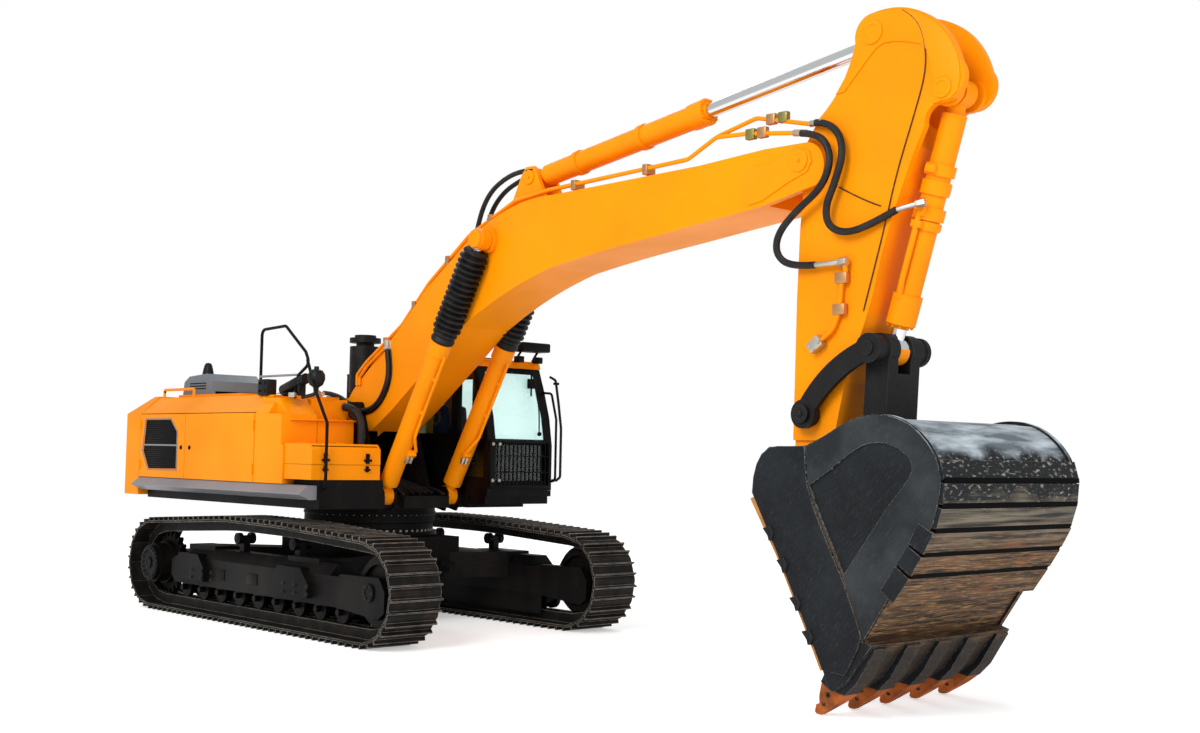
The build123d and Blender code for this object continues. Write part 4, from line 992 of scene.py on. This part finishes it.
# ---------------------------------------------------------------- arm
@dataclass(frozen=True)
class ArmTrim:
    """Side pipe, valve block, grease lines, head plates and pin caps of the arm."""

    half: float = 235.0
    # where the arm cylinder's rod is pinned
    rod_pin: Place = (7150, 0, 5300)
    # the thick plate round the head, x and z
    head: Outline = (
        (6790, 4862), (6880, 4985), (6950, 5130), (6984, 5260), (7000, 5350), (7030, 5410), (7074, 5444),
        (7144, 5456), (7300, 5452), (7450, 5428), (7600, 5366), (7740, 5262), (7850, 5132), (7920, 5000),
        (7944, 4900), (7952, 4790), (7930, 4700), (7866, 4650), (7780, 4646), (7716, 4634), (7700, 4740),
        (7690, 4900), (7670, 5010), (7644, 5080), (7590, 5125), (7450, 5170), (7338, 5192), (7250, 5195),
        (7186, 5170), (7100, 5095), (6876, 4870))

    def build(self) -> None:
        """Builds the arm's trim."""
        face = -self.half
        pipe = hose([(6930, face - 60, 3484), (6930, face - 40, 3400), *level(face - 38, (
            (6885, 3290), (6868, 3080), (6800, 2940), (6700, 2870)))], 20, 50)
        done(pipe, "arm_side_pipe", Look.ORANGE, "arm")
        pads = [brick((x, face - 66, z), (x + 115, face - 2, z + 90), 8)
                for x, z in ((6835, 3310), (6815, 3060))]
        done(pads, "arm_side_clamps", Look.BRASSY, "arm")
        block = plate([(6560, 2830), (6620, 2760), (6730, 2830), (6670, 2910)], face - 80, face - 2, 6)
        screws = bolts(level(face - 80, ((6600, 2815), (6640, 2790), (6690, 2850))), -LEFT, 30, 12)
        done([block, *screws], "arm_valve_block", Look.ZINC, "arm")
        routes = (((7430, 5425), (7560, 5340), (7640, 5140), (7650, 4900), (7560, 4620), (7380, 4130),
                   (7270, 3700), (7080, 3080)), ((6830, 4100), (7080, 3960), (7240, 3900)))
        lines = [hose(level(face - 8, route), 5) for route in routes]
        done(lines, "arm_grease_lines", Look.HOSE, "arm")
        caps, blacks, rings = [], [], []
        for side in (-1, 1):
            across = LEFT * side
            for spot, radius in ((Vector(self.rod_pin), 96), (pivot("bucket_barrel_swing"), 80)):
                caps.append(drum(spot + across * (self.half - 4), spot + across * (self.half + 26), radius,
                                 32, 4, 5))
            spot = pivot("side_links_swing")
            blacks.append(drum(spot + across * 350, spot + across * 378, 74, 32, 5, 5))
            blacks += bolts([spot + across * 378], across, 34, 14)
            rings.append(plate(self.head, side * (self.half - 2), side * (self.half + 12), 5))
        done(caps, "arm_pin_caps", Look.ORANGE, "arm")
        done(rings, "arm_head_plates", Look.ORANGE, "arm")
        done(blacks, "side_link_pin_caps", Look.CAST, "arm")


# ---------------------------------------------------------------- bucket
@dataclass(frozen=True)
class BucketTrim:
    """Side frames, cheeks, edge guards, worn edges, painted shade between the wear straps and tooth pins of the
    bucket.
    """

    half: float = 916.0
    side: Outline = (
        (7075, 2004), (7160, 2040), (7250, 2086), (7350, 2140), (7450, 2185), (7550, 2214), (7640, 2230),
        (7720, 2234), (7800, 2231), (7900, 2206), (7990, 2168), (8070, 2110), (8140, 2040), (8204, 1955),
        (8238, 1880), (8256, 1790), (8256, 1730), (8242, 1655), (8196, 1474), (8090, 1304), (7870, 994),
        (7600, 590), (7424, 1053), (7240, 1390), (7150, 1570), (7096, 1720), (7080, 1860))
    window: Outline = (
        (7112, 1712), (7309, 1836), (7400, 1902), (7497, 1966), (7570, 2006), (7641, 2028), (7720, 2036),
        (7802, 2029), (7900, 1996), (7985, 1938), (8016, 1890), (8020, 1840), (7990, 1780), (7806, 1566),
        (7600, 1290), (7434, 1070), (7260, 1392), (7166, 1575))
    cheek: Outline = (
        (6549, 1640), (6560, 1760), (6590, 1860), (6640, 1940), (6720, 1992), (6800, 2003), (7060, 2004),
        (7072, 1860), (7090, 1715), (7144, 1565), (7233, 1382), (7416, 1048), (7530, 800), (7594, 640),
        (7566, 536), (7456, 336), (7250, 353), (7128, 590), (6828, 1150))
    # the gaps between the wear straps, from the top down
    gaps: Outline = (
        (8212, 1930), (8256, 1771), (8240, 1600), (8186, 1432), (8092, 1262), (7990, 1105), (7846, 905))
    guards: Outline = ((6742, 1310), (6880, 1075), (7010, 800), (7130, 560))
    front: Outline = ((6546, 1600), (6826, 1152), (7124, 594), (7244, 354))
    teeth: int = 5
    tooth_pitch: float = 403.0

    def build(self) -> None:
        """Builds the bucket's trim."""
        frames, cheeks, guards, edges, pins = [], [], [], [], []
        for side in (-1, 1):
            y = side * self.half
            frames.append(self.framed(self.side, self.window, y, side * 16))
            cheeks.append(plate(self.cheek, y - side * 2, y + side * 24, 5))
            for x, z in self.guards:
                tooth = ((-70, 60), (6, 84), (40, 30), (22, -30), (-8, -34), (-20, 4))
                guards.append(plate([(x + dx, z + dz) for dx, dz in tooth], y - side * 42, y + side * 40, 8))
            for (ax, az), (bx, bz) in zip(self.front, self.front[1:]):
                edges.append(plate([(ax + 12, az + 8), (ax - 26, az - 8), (bx - 26, bz - 8),
                                    (bx + 12, bz + 8)],
                                   y - side * 46, y + side * 8, 4))
        for k in range(self.teeth):
            y = (k - (self.teeth - 1) / 2) * self.tooth_pitch
            for side in (-1, 1):
                for x, z, out, radius in ((7262, 170, 74, 22), (7212, 98, 61, 18)):
                    ends = [(x, y + side * (out + deep), z) for deep in (-14, 3)]
                    pins.append(drum(*ends, radius, 16, 2, 3))
        done(frames, "bucket_side_frames", Look.BUCKET_RIM, "bucket", smooth=False)
        done(cheeks, "bucket_cutting_cheeks", Look.BUCKET, "bucket", smooth=False)
        done(guards, "bucket_edge_guards", Look.CAST, "bucket")
        done(edges, "bucket_worn_edges", Look.SANDED, "bucket")
        # painted shade in the gaps between the wear straps
        done(self.painted_gap_shade(), "bucket_packed_earth", Look.DARK, "bucket", smooth=False)
        done(pins, "tooth_pins", Look.CAST, "bucket")

    def painted_gap_shade(self) -> list[Mesh]:
        """Painted shade: flat black bars in the gaps between the wear straps, with painted shadows under each
        strap's edge and at the lower straps' side ends.
        """
        made = []
        for number in range(1, len(self.gaps) - 1):
            x, z = self.gaps[number]
            (ax, az), (bx, bz) = self.gaps[number - 1], self.gaps[number + 1]
            down = Vector((bx - ax, bz - az)).normalized()

            def strip(high: float, low: float, y0: float, y1: float, above: float = 13) -> Mesh:
                """A bar in the gap between two heights over the straps' seats."""
                return plate([(x + down.x * s - down.y * h, z + down.y * s + down.x * h)
                              for s, h in ((-above, high), (13, high), (13, low), (-above, low))], y0, y1, 0)

            # painted shade filling the gap
            made.append(strip(4, -34, -self.half - 4, self.half + 4))
            # the shaded lower edge of the strap above
            made.append(strip(31, 20, -self.half - 6, self.half + 6, 25))
            # painted shadows at the side ends of the lower straps
            if number > 3:
                made += [strip(20, -106, side * (self.half + 17), side * (self.half + 21))
                         for side in (-1, 1)]
        return made

    def framed(self, outer: Outline, window: Outline, y: float, thick: float) -> Mesh:
        """A raised plate with an opening.

        Args:
            outer: The plate's outline as (x, z).
            window: The opening's outline.
            y: The face that it lies on.
            thick: How far it stands out, with its sign.

        Returns:
            The finished mesh object.
        """
        panel = plate(outer, y - thick * 0.2, y + thick, 0)
        cutter = plate(window, y - thick * 3, y + thick * 3, 0)
        cut = panel.modifiers.new("opening", "BOOLEAN")
        cut.object = cutter
        cut.solver = "EXACT"
        select_only(panel)
        bpy.ops.object.modifier_apply(modifier=cut.name)
        bpy.data.objects.remove(cutter)
        return panel


# ---------------------------------------------------------------- undercarriage
@dataclass(frozen=True)
class UndercarriageTrim:
    """The slewing ring's bolts and flange, bolts and covers of idlers, drives and frames, track guides."""

    gauge: float = 2620.0
    axle_z: float = 535.0
    half_base: float = 2225.0
    ring_r: float = 650.0
    # how far out from the track's middle the drive's face, idler's cover, frame's bolts and its pads lie
    drive_out: float = 281.0
    idler_out: float = 206.0
    face_out: float = 262.0
    guard_out: float = 190.0

    def build(self) -> None:
        """Builds the undercarriage's trim."""
        low = ring_of(Vector((0, 0, 1010)), UP, self.ring_r + 62, 56)
        done(bolts(low, UP, 34, 22), "slew_ring_bolts_low", Look.ZINC, "undercarriage")
        flange = lathe([(self.ring_r - 10, 0), (self.ring_r + 100, 0), (self.ring_r + 100, 26),
                        (self.ring_r - 10, 26)],
                       (0, 0, 1196), UP, 72)
        done(flange, "slew_ring_flange", Look.CHASSIS, "house")
        high = ring_of(Vector((0, 0, 1196)), -UP, self.ring_r + 70, 56, 3)
        done(bolts(high, -UP, 34, 22), "slew_ring_bolts_high", Look.ZINC, "house")
        heads, hubs, caps = [], [], []
        for side in (-1, 1):
            out = LEFT * side
            face = side * (self.gauge / 2 + self.drive_out)
            drive = Vector((-self.half_base, face, self.axle_z))
            heads += bolts(ring_of(drive, out, 165, 18), out, 34, 18)
            caps.append(drum(drive - out * 4, drive + out * 14, 70, 24, 4, 4))
            idler = Vector((self.half_base, side * (self.gauge / 2 + self.idler_out), self.axle_z))
            hubs.append(drum(idler - out * 8, idler + out * 16, 92, 28, 5, 6))
            heads += bolts(ring_of(idler + out * 14, out, 66, 6), out, 24, 12)
            for x in (-980, 980):
                y = side * (self.gauge / 2 + self.face_out)
                spots = [(x + dx, y, z) for dx in (-230, 0, 230) for z in (440, 520)]
                heads += bolts(spots, out, 34, 16)
            for x in (-700, 0, 700):
                y = side * (self.gauge / 2 + self.guard_out)
                hubs.append(brick((x - 110, y - 8, 440), (x + 110, y + 8, 560), 5))
        guides = [brick((-1720, side * 1134 - 8, 128), (1720, side * 1134 + 8, 420), 5) for side in (-1, 1)]
        done(guides, "track_guides", Look.CHASSIS, "undercarriage")
        done(heads, "undercarriage_bolts", Look.CAST, "undercarriage")
        done([*hubs, *caps], "undercarriage_covers", Look.CHASSIS, "undercarriage")


# ---------------------------------------------------------------- house
@dataclass(frozen=True)
class HouseTrim:
    """Grilles, vent cover, lamp, latches, locks, hoses, valve, ledge, treads and rails of the house."""

    side_y: float = 1500.0
    # the door's opening as x, z
    grille: Outline = (
        (-2688, 1850), (-2530, 1622), (-1796, 1632), (-1801, 2086), (-1972, 2241), (-2629, 2241))
    vent: Outline = (
        (-2660, 2541), (-2628, 2708), (-2503, 2774), (-2078, 2799), (-1951, 2706), (-1930, 2541))
    mesh_pitch: float = 26.0

    def screen(self, side: int) -> tuple[list[Mesh], list[Mesh]]:
        """A door's grille: dark sheet and wires, and the grey rim with its middle bar."""
        face = side * self.side_y
        back = face - side * 8
        xs, zs = [x for x, _ in self.grille], [z for _, z in self.grille]
        hole = [(x + (14 if x < -2200 else -14), z + (14 if z < 1900 else -14)) for x, z in self.grille]
        dark = [plate(hole, face - side * 10, back, 0)]
        left, right = min(xs) + 20, max(xs) - 20
        for k in range(int((right - left) / self.mesh_pitch)):
            x = left + k * self.mesh_pitch
            # how much the opening's sloped corners shorten this wire, below and above
            low = max(0.0, (-2530 - x) / 158 * 228)
            high = max(0.0, (x + 1972) / 171 * 155, (-2629 - x) / 59 * 391)
            dark.append(brick((x - 3, back - 3, 1632 + low), (x + 3, back + 3, 2234 - high), 1))
        for k in range(int((max(zs) - min(zs) - 20) / self.mesh_pitch)):
            z = min(zs) + 16 + k * self.mesh_pitch
            start = -2530 - (z - 1622) / 228 * 158 if z < 1850 else -2688 + (z - 1850) / 391 * 59
            end = -1798 - (z - 2086) / 155 * 171 if z > 2086 else -1798
            dark.append(brick((start, back - 4, z - 3), (end, back + 4, z + 3), 1))
        y0, y1 = sorted((face - side * 12, face + side * 6))
        bar = brick((-2680, y0, 1914), (-1800, y1, 1934), 3)
        return dark, [rim(self.grille, 12, face - side * 14, face + side * 7), bar]

    def vent_cover(self) -> None:
        """The grey cover over the hood's vent, its slots and a strip at the foot of its front edge drawn as flat
        black painted shade, and what stands on it.
        """
        done(plate(self.vent, -1010, -320, 7), "vent_cover", Look.VENT, "engine_hood")
        # painted shade: the slots are flat black bars on the cover, not openings
        slots = []
        for row in range(3):
            for k in range(7):
                x, z = -2470 + k * 58, 2612 + row * 32
                slots.append(brick((x, -1016, z), (x + 42, -1006, z + 14), 2))
        # painted shade: a flat black strip at the foot of the cover's front edge
        slots.append(brick((-1934, -960, 2546), (-1924, -340, 2584), 3))
        done(slots, "vent_slot_shade", Look.DARK, "engine_hood")
        knob = lathe([(0.5, -20), (70, -20), (74, 20), (62, 90), (48, 150), (30, 176), (0.5, 182)],
                     (-2500, -760, 2776), UP, 20)
        done(knob, "vent_pipe", Look.PLASTIC, "engine_hood")

    def lights(self) -> None:
        """The lamp, clamp and fittings round the guard loop on the tank."""
        y = -1240
        block = brick((-340, y - 70, 2492), (-150, y + 60, 2672), 10)
        screws = bolts([(x, y - 70, z) for x in (-300, -190) for z in (2540, 2630)], -LEFT, 30, 14)
        body = lathe([(0.5, -12), (52, -12), (66, 10), (66, 330), (58, 350), (58, 470), (0.5, 470)],
                     (60, y + 20, 2540), Vector((0.93, 0, 0.26)), 24)
        foot = [brick((100, y - 20, 2480), (150, y + 60, 2530), 6),
                brick((400, y - 20, 2480), (450, y + 60, 2620), 6)]
        bulb = lathe([(0.5, -150), (26, -150), (30, -96), (72, -66), (94, -10), (92, 40), (66, 84), (28, 100),
                      (24, 128), (0.5, 128)], (790, y - 30, 2655), UP, 28)
        post = hose([(500, y - 10, 2462), (640, y - 20, 2475), (780, y - 30, 2490), (790, y - 30, 2520)], 20)
        done([block, *screws, body, *foot, bulb, post], "rail_lamps", Look.PLASTIC, "house")
        fits = [drum((600, y + 30, 2470), (720, y + 60, 2505), 34, 6),
                drum((420, -1330, 2462), (420, -1330, 2510), 44, 8),
                drum((690, y + 80, 2480), (760, y + 80, 2500), 26, 6)]
        done(fits, "tank_fittings", Look.ZINC, "house")
        lens = drum((498, y + 20, 2663), (508, y + 20, 2666), 50, 24, 2)
        done(lens, "rail_lamp_lens", Look.LENS, "house")

    def latches(self) -> None:
        """Latches of the toolbox and locks of the side doors."""
        arms, keepers = [], []
        for y in (-1319, -798):
            arms += [brick((1078, y - 20, 1764), (1104, y + 20, 1872), 5),
                     brick((1086, y - 44, 1786), (1112, y + 44, 1812), 5),
                     drum((1090, y, 1850), (1118, y, 1850), 15, 12)]
            keepers += [brick((1078, y - 16, 1676), (1098, y + 16, 1742), 5),
                        brick((1084, y - 34, 1690), (1106, y + 34, 1712), 4)]
        done(arms, "toolbox_latches", Look.BLACK, "toolbox_lid")
        done(keepers, "toolbox_keepers", Look.BLACK, "house")
        for side, hand in SIDES:
            out = side * self.side_y
            for name, x in ((f"{hand}_rear_door", -1705), (f"{hand}_mid_door", -1500)):
                lock = drum((x, out - side * 2, 1900), (x, out + side * 10, 1900), 24, 20, 3, 4)
                done(lock, f"{name}_lock", Look.BLACK, name)

    def hoses(self) -> None:
        """Hoses from the hood to the boom's foot, down from the tank and over the deck, and the valve."""
        for number, y in enumerate((-350, -300)):
            route = [(-400, y - 60, 2560 - number * 60), (-180, y - 40, 2545 - number * 60),
                     (60, y, 2420 - number * 40), (330, y, 2335 - number * 30), (600, y, 2420),
                     (770, y, 2640), (790, y, 2860), (745, y, 3030)]
            piece = done(hose(route, 27), f"boom_foot_hose_{number}", Look.HOSE, "house")
            piece.parent = None
            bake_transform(piece)
        ends = [drum((745, y, 3020), (738, y, 3120), 30, 6) for y in (-350, -300)]
        done(ends, "boom_foot_fittings", Look.ZINC, "boom")
        tank = [hose([(380, -640, 2380), (520, -600, 2360), (600, -560, 2240), (610, -560, 2000),
                      (620, -560, 1700)], 46),
                hose([(380, -560, 2300), (470, -520, 2260), (520, -500, 2100), (520, -500, 1620)], 34)]
        done(tank, "tank_hoses", Look.HOSE, "house")
        route = ((-300, 1, 1500), (60, 1, 1640), (360, 0.9, 1560), (640, 0.8, 1520), (900, 1, 1440))
        low = [hose([(x, y * share, z) for x, share, z in route], 24) for y in range(-215, 216, 86)]
        route = ((300, 200, 1440), (640, 230, 1490), (900, 260, 1500), (1040, 270, 1420))
        low += [hose([(x, side * y, z) for x, y, z in route], 22) for side, _ in SIDES]
        done(low, "deck_hoses", Look.HOSE, "house")
        valve = [brick((-260, -240, 1424), (160, 240, 1560), 14),
                 brick((-200, -200, 1555), (80, 200, 1640), 12)]
        valve += [drum((160, y, 1500), (215, y, 1500), 32, 16) for y in (-180, -90, 0, 90, 180)]
        done(valve, "control_valve", Look.CAST, "house")

    def build(self) -> None:
        """Builds the house's trim."""
        for side, hand in SIDES:
            dark, edge = self.screen(side)
            done(dark, f"{hand}_grille_screen", Look.BLACK, f"{hand}_rear_door")
            done(edge, f"{hand}_grille_rim", Look.GREY, f"{hand}_rear_door")
        for step in (self.vent_cover, self.lights, self.latches, self.hoses):
            step()
        rail = hose(level(-1230, ((-2700, 2496), (-2700, 2600), (-1950, 2600), (-1950, 2496))), 17, 60)
        done(rail, "rear_rail_sleeve", Look.ORANGE, "house")
        ledge = brick((250, -1400, 2214), (546, -545, 2232), 6)
        treads = [brick((120, y - 60, 2503), (420, y + 60, 2511), 2) for y in (-1280, -900)]
        done(ledge, "tank_ledge", Look.ORANGE, "house")
        done(treads, "tread_plates", Look.BLACK, "house")
        self.stack()

    def stack(self) -> None:
        """The exhaust's tail pipe and the guard loop's crossbar."""
        pipe = lathe([(52, 0), (62, 0), (62, 300), (66, 306), (66, 320), (52, 320)], (-1500, 700, 2540), UP,
                     28)
        done(pipe, "exhaust_pipe", Look.CAST, "engine_hood")
        bar = hose(level(-1250, ((-400, 2706), (385, 2706))), 13)
        done(bar, "rail_crossbar", Look.GREY, "house")


# ---------------------------------------------------------------- cab
@dataclass(frozen=True)
class CabTrim:
    """Front guard, painted reflection on the windscreen, painted shade behind its lower part, visor, wiper,
    mirror, grab rail, levers and padded seat of the cab.
    """

    front: float = 1432.0
    guard_y: tuple[float, float] = (560.0, 1440.0)
    guard_z: tuple[float, float] = (1525.0, 2050.0)
    bars: int = 13

    def guard(self) -> None:
        """The barred guard over the lower windscreen, with its corner bolts."""
        (y0, y1), (z0, z1) = self.guard_y, self.guard_z
        x = self.front + 34
        made = [brick((x, y0, z0), (x + 20, y1, z0 + 24), 4), brick((x, y0, z1 - 24), (x + 20, y1, z1), 4)]
        made += [brick((x, y0, z), (x + 14, y1, z + 12), 3) for z in (1690, 1870)]
        for k in range(self.bars):
            y = y0 + 150 + k * (y1 - y0 - 170) / (self.bars - 1)
            made.append(brick((x + 2, y - 6, z0), (x + 16, y + 6, z1), 3))
        made.append(brick((self.front, y0, z0), (x + 10, y0 + 80, z1), 5))
        made.append(brick((self.front, y1 - 30, z0), (x + 10, y1, z1), 5))
        done(made, "cab_guard", Look.BLACK, "house")
        spots = [(x + 10, y, z) for y in (y0 + 36, y0 + 130) for z in (z0 + 78, z1 - 44)]
        done(bolts(spots, AHEAD, 30, 14), "cab_guard_bolts", Look.ZINC, "house")

    def screen(self) -> None:
        """A pale glowing sheet on the windscreen as its painted reflection, and a flat black sheet behind its
        guarded lower part as painted shade.
        """
        front = ((1409, 2066), (1363, 2320), (1268, 2620), (1194, 2814))
        # painted reflection: a pale glowing sheet just outside the windscreen
        film = plate([*front, *((x - 3, z) for x, z in reversed(front))], 678, 1384, 0)
        done(film, "windscreen_painted_reflection", Look.PAINTED_REFLECTION, "house", smooth=False)
        (y0, y1), (z0, z1) = self.guard_y, self.guard_z
        # painted shade: a flat black sheet for the dark inside behind the lower windscreen
        panel = brick((self.front - 64, y0 + 10, z0 - 5), (self.front - 52, y1 - 10, z1 + 16), 4)
        done(panel, "cab_lower_painted_shade", Look.DARK, "house")

    def roof(self) -> None:
        """The roof's edge trim, and the visor on its brackets with the pads behind it."""
        rows = [brick((-380, 560, 2950), (1180, 600, 2966), 4),
                brick((1150, 575, 2950), (1200, 1490, 2966), 4)]
        done(rows, "cab_roof_edge", Look.ORANGE, "house")
        made = [brick((1180, 1060, 3070), (1400, 1480, 3175), 16)]
        made += [hose(level(y, ((1150, 2940), (1190, 3010), (1260, 3075))), 14) for y in (1150, 1400)]
        made += [brick((60, 760, 2948), (760, 1320, 2972), 10),
                 brick((860, 700, 2946), (1060, 1000, 2990), 12)]
        made += [brick((1200, y, 2946), (1290, y + 90, 3020), 10) for y in (1090, 1370)]
        done(made, "cab_visor", Look.BLACK, "house")

    def fittings(self) -> None:
        """Wiper, inner mirror, grab rail on its mounts, and door latch."""
        wiper = [hose([(1442, 1290, 2130), (1452, 1282, 2400), (1420, 1262, 2560), (1340, 1262, 2830)], 8),
                 brick((1330, 1240, 2560), (1346, 1256, 2840), 2),
                 drum((1436, 1290, 2130), (1462, 1290, 2130), 24, 16)]
        mirror = brick((1290, 1222, 2650), (1304, 1338, 2762), 8)
        done([*wiper, mirror], "cab_wiper", Look.BLACK, "house")
        grab = hose([(1300, 1560, 2800), (1360, 1600, 2760), (1420, 1600, 2480), (1470, 1600, 2200),
                     (1470, 1600, 1640), (1440, 1560, 1600)], 15, 60)
        done(grab, "cab_grab_rail", Look.CAST, "house")
        pull = [brick((1090, 1500, 2020), (1150, 1528, 2160), 8),
                brick((1080, 1498, 2000), (1160, 1508, 2180), 4)]
        done(pull, "cab_door_latch", Look.PLASTIC, "cab_door")
        mount = [brick((1430, 1500, z), (1470, 1560, z + 30), 4) for z in (2700, 1590)]
        done(mount, "cab_rail_mounts", Look.BLACK, "house")

    def inside(self) -> None:
        """Levers, monitor and seat."""
        sticks = []
        for y in (740, 1300):
            sticks.append(hose(level(y, ((460, 2010), (480, 2060), (500, 2150))), 14))
            knob = ((0.5, 0), (22, 0), (28, 40), (24, 96), (0.5, 104))
            sticks.append(lathe(knob, (498, y, 2130), Vector((0.15, 0, 1)), 16))
        sticks += [hose(level(y, ((1080, 1560), (1060, 1760), (1020, 1900))), 12) for y in (930, 1090)]
        done(sticks, "cab_levers", Look.PLASTIC, "house")
        done(brick((1150, 640, 2150), (1190, 800, 2290), 8), "cab_monitor", Look.PLASTIC, "house")
        self.seat()

    def seat(self) -> None:
        """The operator's seat: padded cushions on a plastic base, instead of the CAD blocks."""
        pads = {"seat_cushion": ((110, 800, 1790), (610, 1260, 1930)),
                "seat_back": ((60, 810, 1900), (190, 1250, 2460)),
                "seat_headrest": ((60, 890, 2470), (170, 1170, 2640)),
                "armrest_right": ((200, 700, 1940), (610, 800, 2010)),
                "armrest_left": ((200, 1262, 1940), (610, 1346, 2010))}
        made = [done(self.cushion(low, high), name, Look.CLOTH, "house")
                for name, (low, high) in pads.items()]
        base = [brick((180, 880, 1596), (520, 1180, 1700), 14),
                brick((110, 820, 1700), (600, 1240, 1792), 18), brick((60, 830, 1780), (120, 1230, 1910), 14),
                *(brick((200, y0, 1600), (560, y1, 1945), 16) for y0, y1 in ((706, 794), (1268, 1340)))]
        shell = done(base, "seat_base", Look.PLASTIC, "house")
        for piece in (*made, shell):
            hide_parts("operator_seat")

    def cushion(self, low: Place, high: Place) -> Mesh:
        """A crowned closed cushion between two corners, its edges rounded."""
        pad = brick(low, high, min(Vector(high) - Vector(low)) * 0.42)
        with editing(pad):
            bpy.ops.mesh.select_all(action="SELECT")
            bpy.ops.mesh.subdivide(number_cuts=3, smoothness=0.6)
            bpy.ops.mesh.vertices_smooth(factor=0.5, repeat=2)
        return pad

    def build(self) -> None:
        """Builds the cab's trim."""
        for step in (self.guard, self.screen, self.roof, self.fittings, self.inside):
            step()


# ---------------------------------------------------------------- the stage
@dataclass(frozen=True)
class Stage:
    """Floor, soft light and camera. Lengths here are metres."""

    camera_mm: Place = (14027.6, -9629.5, 1910.2)
    azimuth: float = 47.197
    elevation: float = -3.381
    roll: float = 1.108
    lens: float = 43.80
    shift: tuple[float, float] = (0.01027, 0.00135)
    floor_half: float = 60.0
    world_light: float = 0.62
    # the floor's own light as its surroundings see it, and as the camera does
    floor_light: tuple[float, float] = (0.16, 0.42)
    # where each lamp stands, its size and its power in watts
    lamps: tuple[tuple[Place, float, float], ...] = (
        ((6.0, -17.0, 13.0), 9.0, 2500.0),
        ((20.0, -2.0, 9.0), 8.0, 750.0),
        ((-14.0, 10.0, 12.0), 9.0, 800.0))

    def backdrop(self) -> None:
        """Lays a pale floor and a white sky that also shows in gloss and glass."""
        deselect()
        bpy.ops.mesh.primitive_plane_add(size=2 * self.floor_half)
        floor = bpy.context.object
        floor.name = "floor"
        material = bpy.data.materials.new("floor, matt white board")
        material.use_nodes = True
        graph = Graph(material.node_tree)
        graph.tree.nodes.clear()
        board = graph.add("BsdfDiffuse", Color=(0.92, 0.92, 0.92, 1))
        seen = graph.add("LightPath").outputs["Is Camera Ray"]
        glow = graph.add("Emission", Color=(1, 1, 1, 1),
                         Strength=graph.ramp(seen, 0.0, 1.0, self.floor_light))
        both = graph.add("AddShader", i0=board.outputs[0], i1=glow.outputs[0])
        graph.add("OutputMaterial", Surface=both.outputs[0])
        floor.data.materials.append(material)
        world = bpy.data.worlds.new("sky")
        bpy.context.scene.world = world
        world.use_nodes = True
        graph = Graph(world.node_tree)
        graph.tree.nodes.clear()
        path = graph.add("LightPath")
        seen = graph.maths("MAXIMUM", path.outputs["Is Camera Ray"], path.outputs["Is Transmission Ray"])
        strength = graph.ramp(seen, 0.0, 1.0, (self.world_light, 1.0))
        sky = graph.add("Background", Color=(1, 1, 1, 1), Strength=strength)
        graph.add("OutputWorld", Surface=sky.outputs[0])

    def light(self) -> None:
        """Hangs large soft lamps round the machine, all turned to its middle."""
        middle = UP * 1.8
        for number, (place, size, power) in enumerate(self.lamps):
            lamp = bpy.data.lights.new(f"lamp_{number}", "AREA")
            lamp.size = size
            lamp.energy = power
            holder = bpy.data.objects.new(lamp.name, lamp)
            holder.location = place
            holder.rotation_euler = (middle - Vector(place)).to_track_quat("-Z", "Y").to_euler()
            bpy.context.scene.collection.objects.link(holder)

    def shoot(self) -> None:
        """Sets the camera low in front of the machine's right corner, and plain colours."""
        turn, tilt, roll = (math.radians(a) for a in (self.azimuth, self.elevation, self.roll))
        ahead = Vector((-math.sin(turn) * math.cos(tilt), math.cos(turn) * math.cos(tilt), -math.sin(tilt)))
        right = Vector((math.cos(turn), math.sin(turn), 0))
        up = right.cross(ahead)
        side = right * math.cos(roll) + up * math.sin(roll)
        top = up * math.cos(roll) - right * math.sin(roll)
        data = bpy.data.cameras.new("camera")
        data.lens = self.lens
        data.sensor_width = 36.0
        data.shift_x, data.shift_y = self.shift
        data.clip_end = 500
        camera = bpy.data.objects.new("camera", data)
        turned = Matrix((side, top, -ahead)).transposed().to_4x4()
        camera.matrix_world = Matrix.Translation(at(*self.camera_mm)) @ turned
        bpy.context.scene.collection.objects.link(camera)
        bpy.context.scene.camera = camera
        bpy.context.scene.view_settings.view_transform = "Standard"


def main() -> None:
    """Builds the machine's looks in order."""
    logging.basicConfig(level=logging.INFO, format="%(message)s")
    stage = Stage()
    stage.backdrop()
    stage.light()
    stage.shoot()
    FrameDress().dress()
    for trim in (UndercarriageTrim(), HouseTrim(), CabTrim(), CylinderTrim(), BoomTrim(), ArmTrim(),
                 BucketTrim()):
        log.info("%s", type(trim).__name__)
        trim.build()


if __name__ == "__main__":
    main()
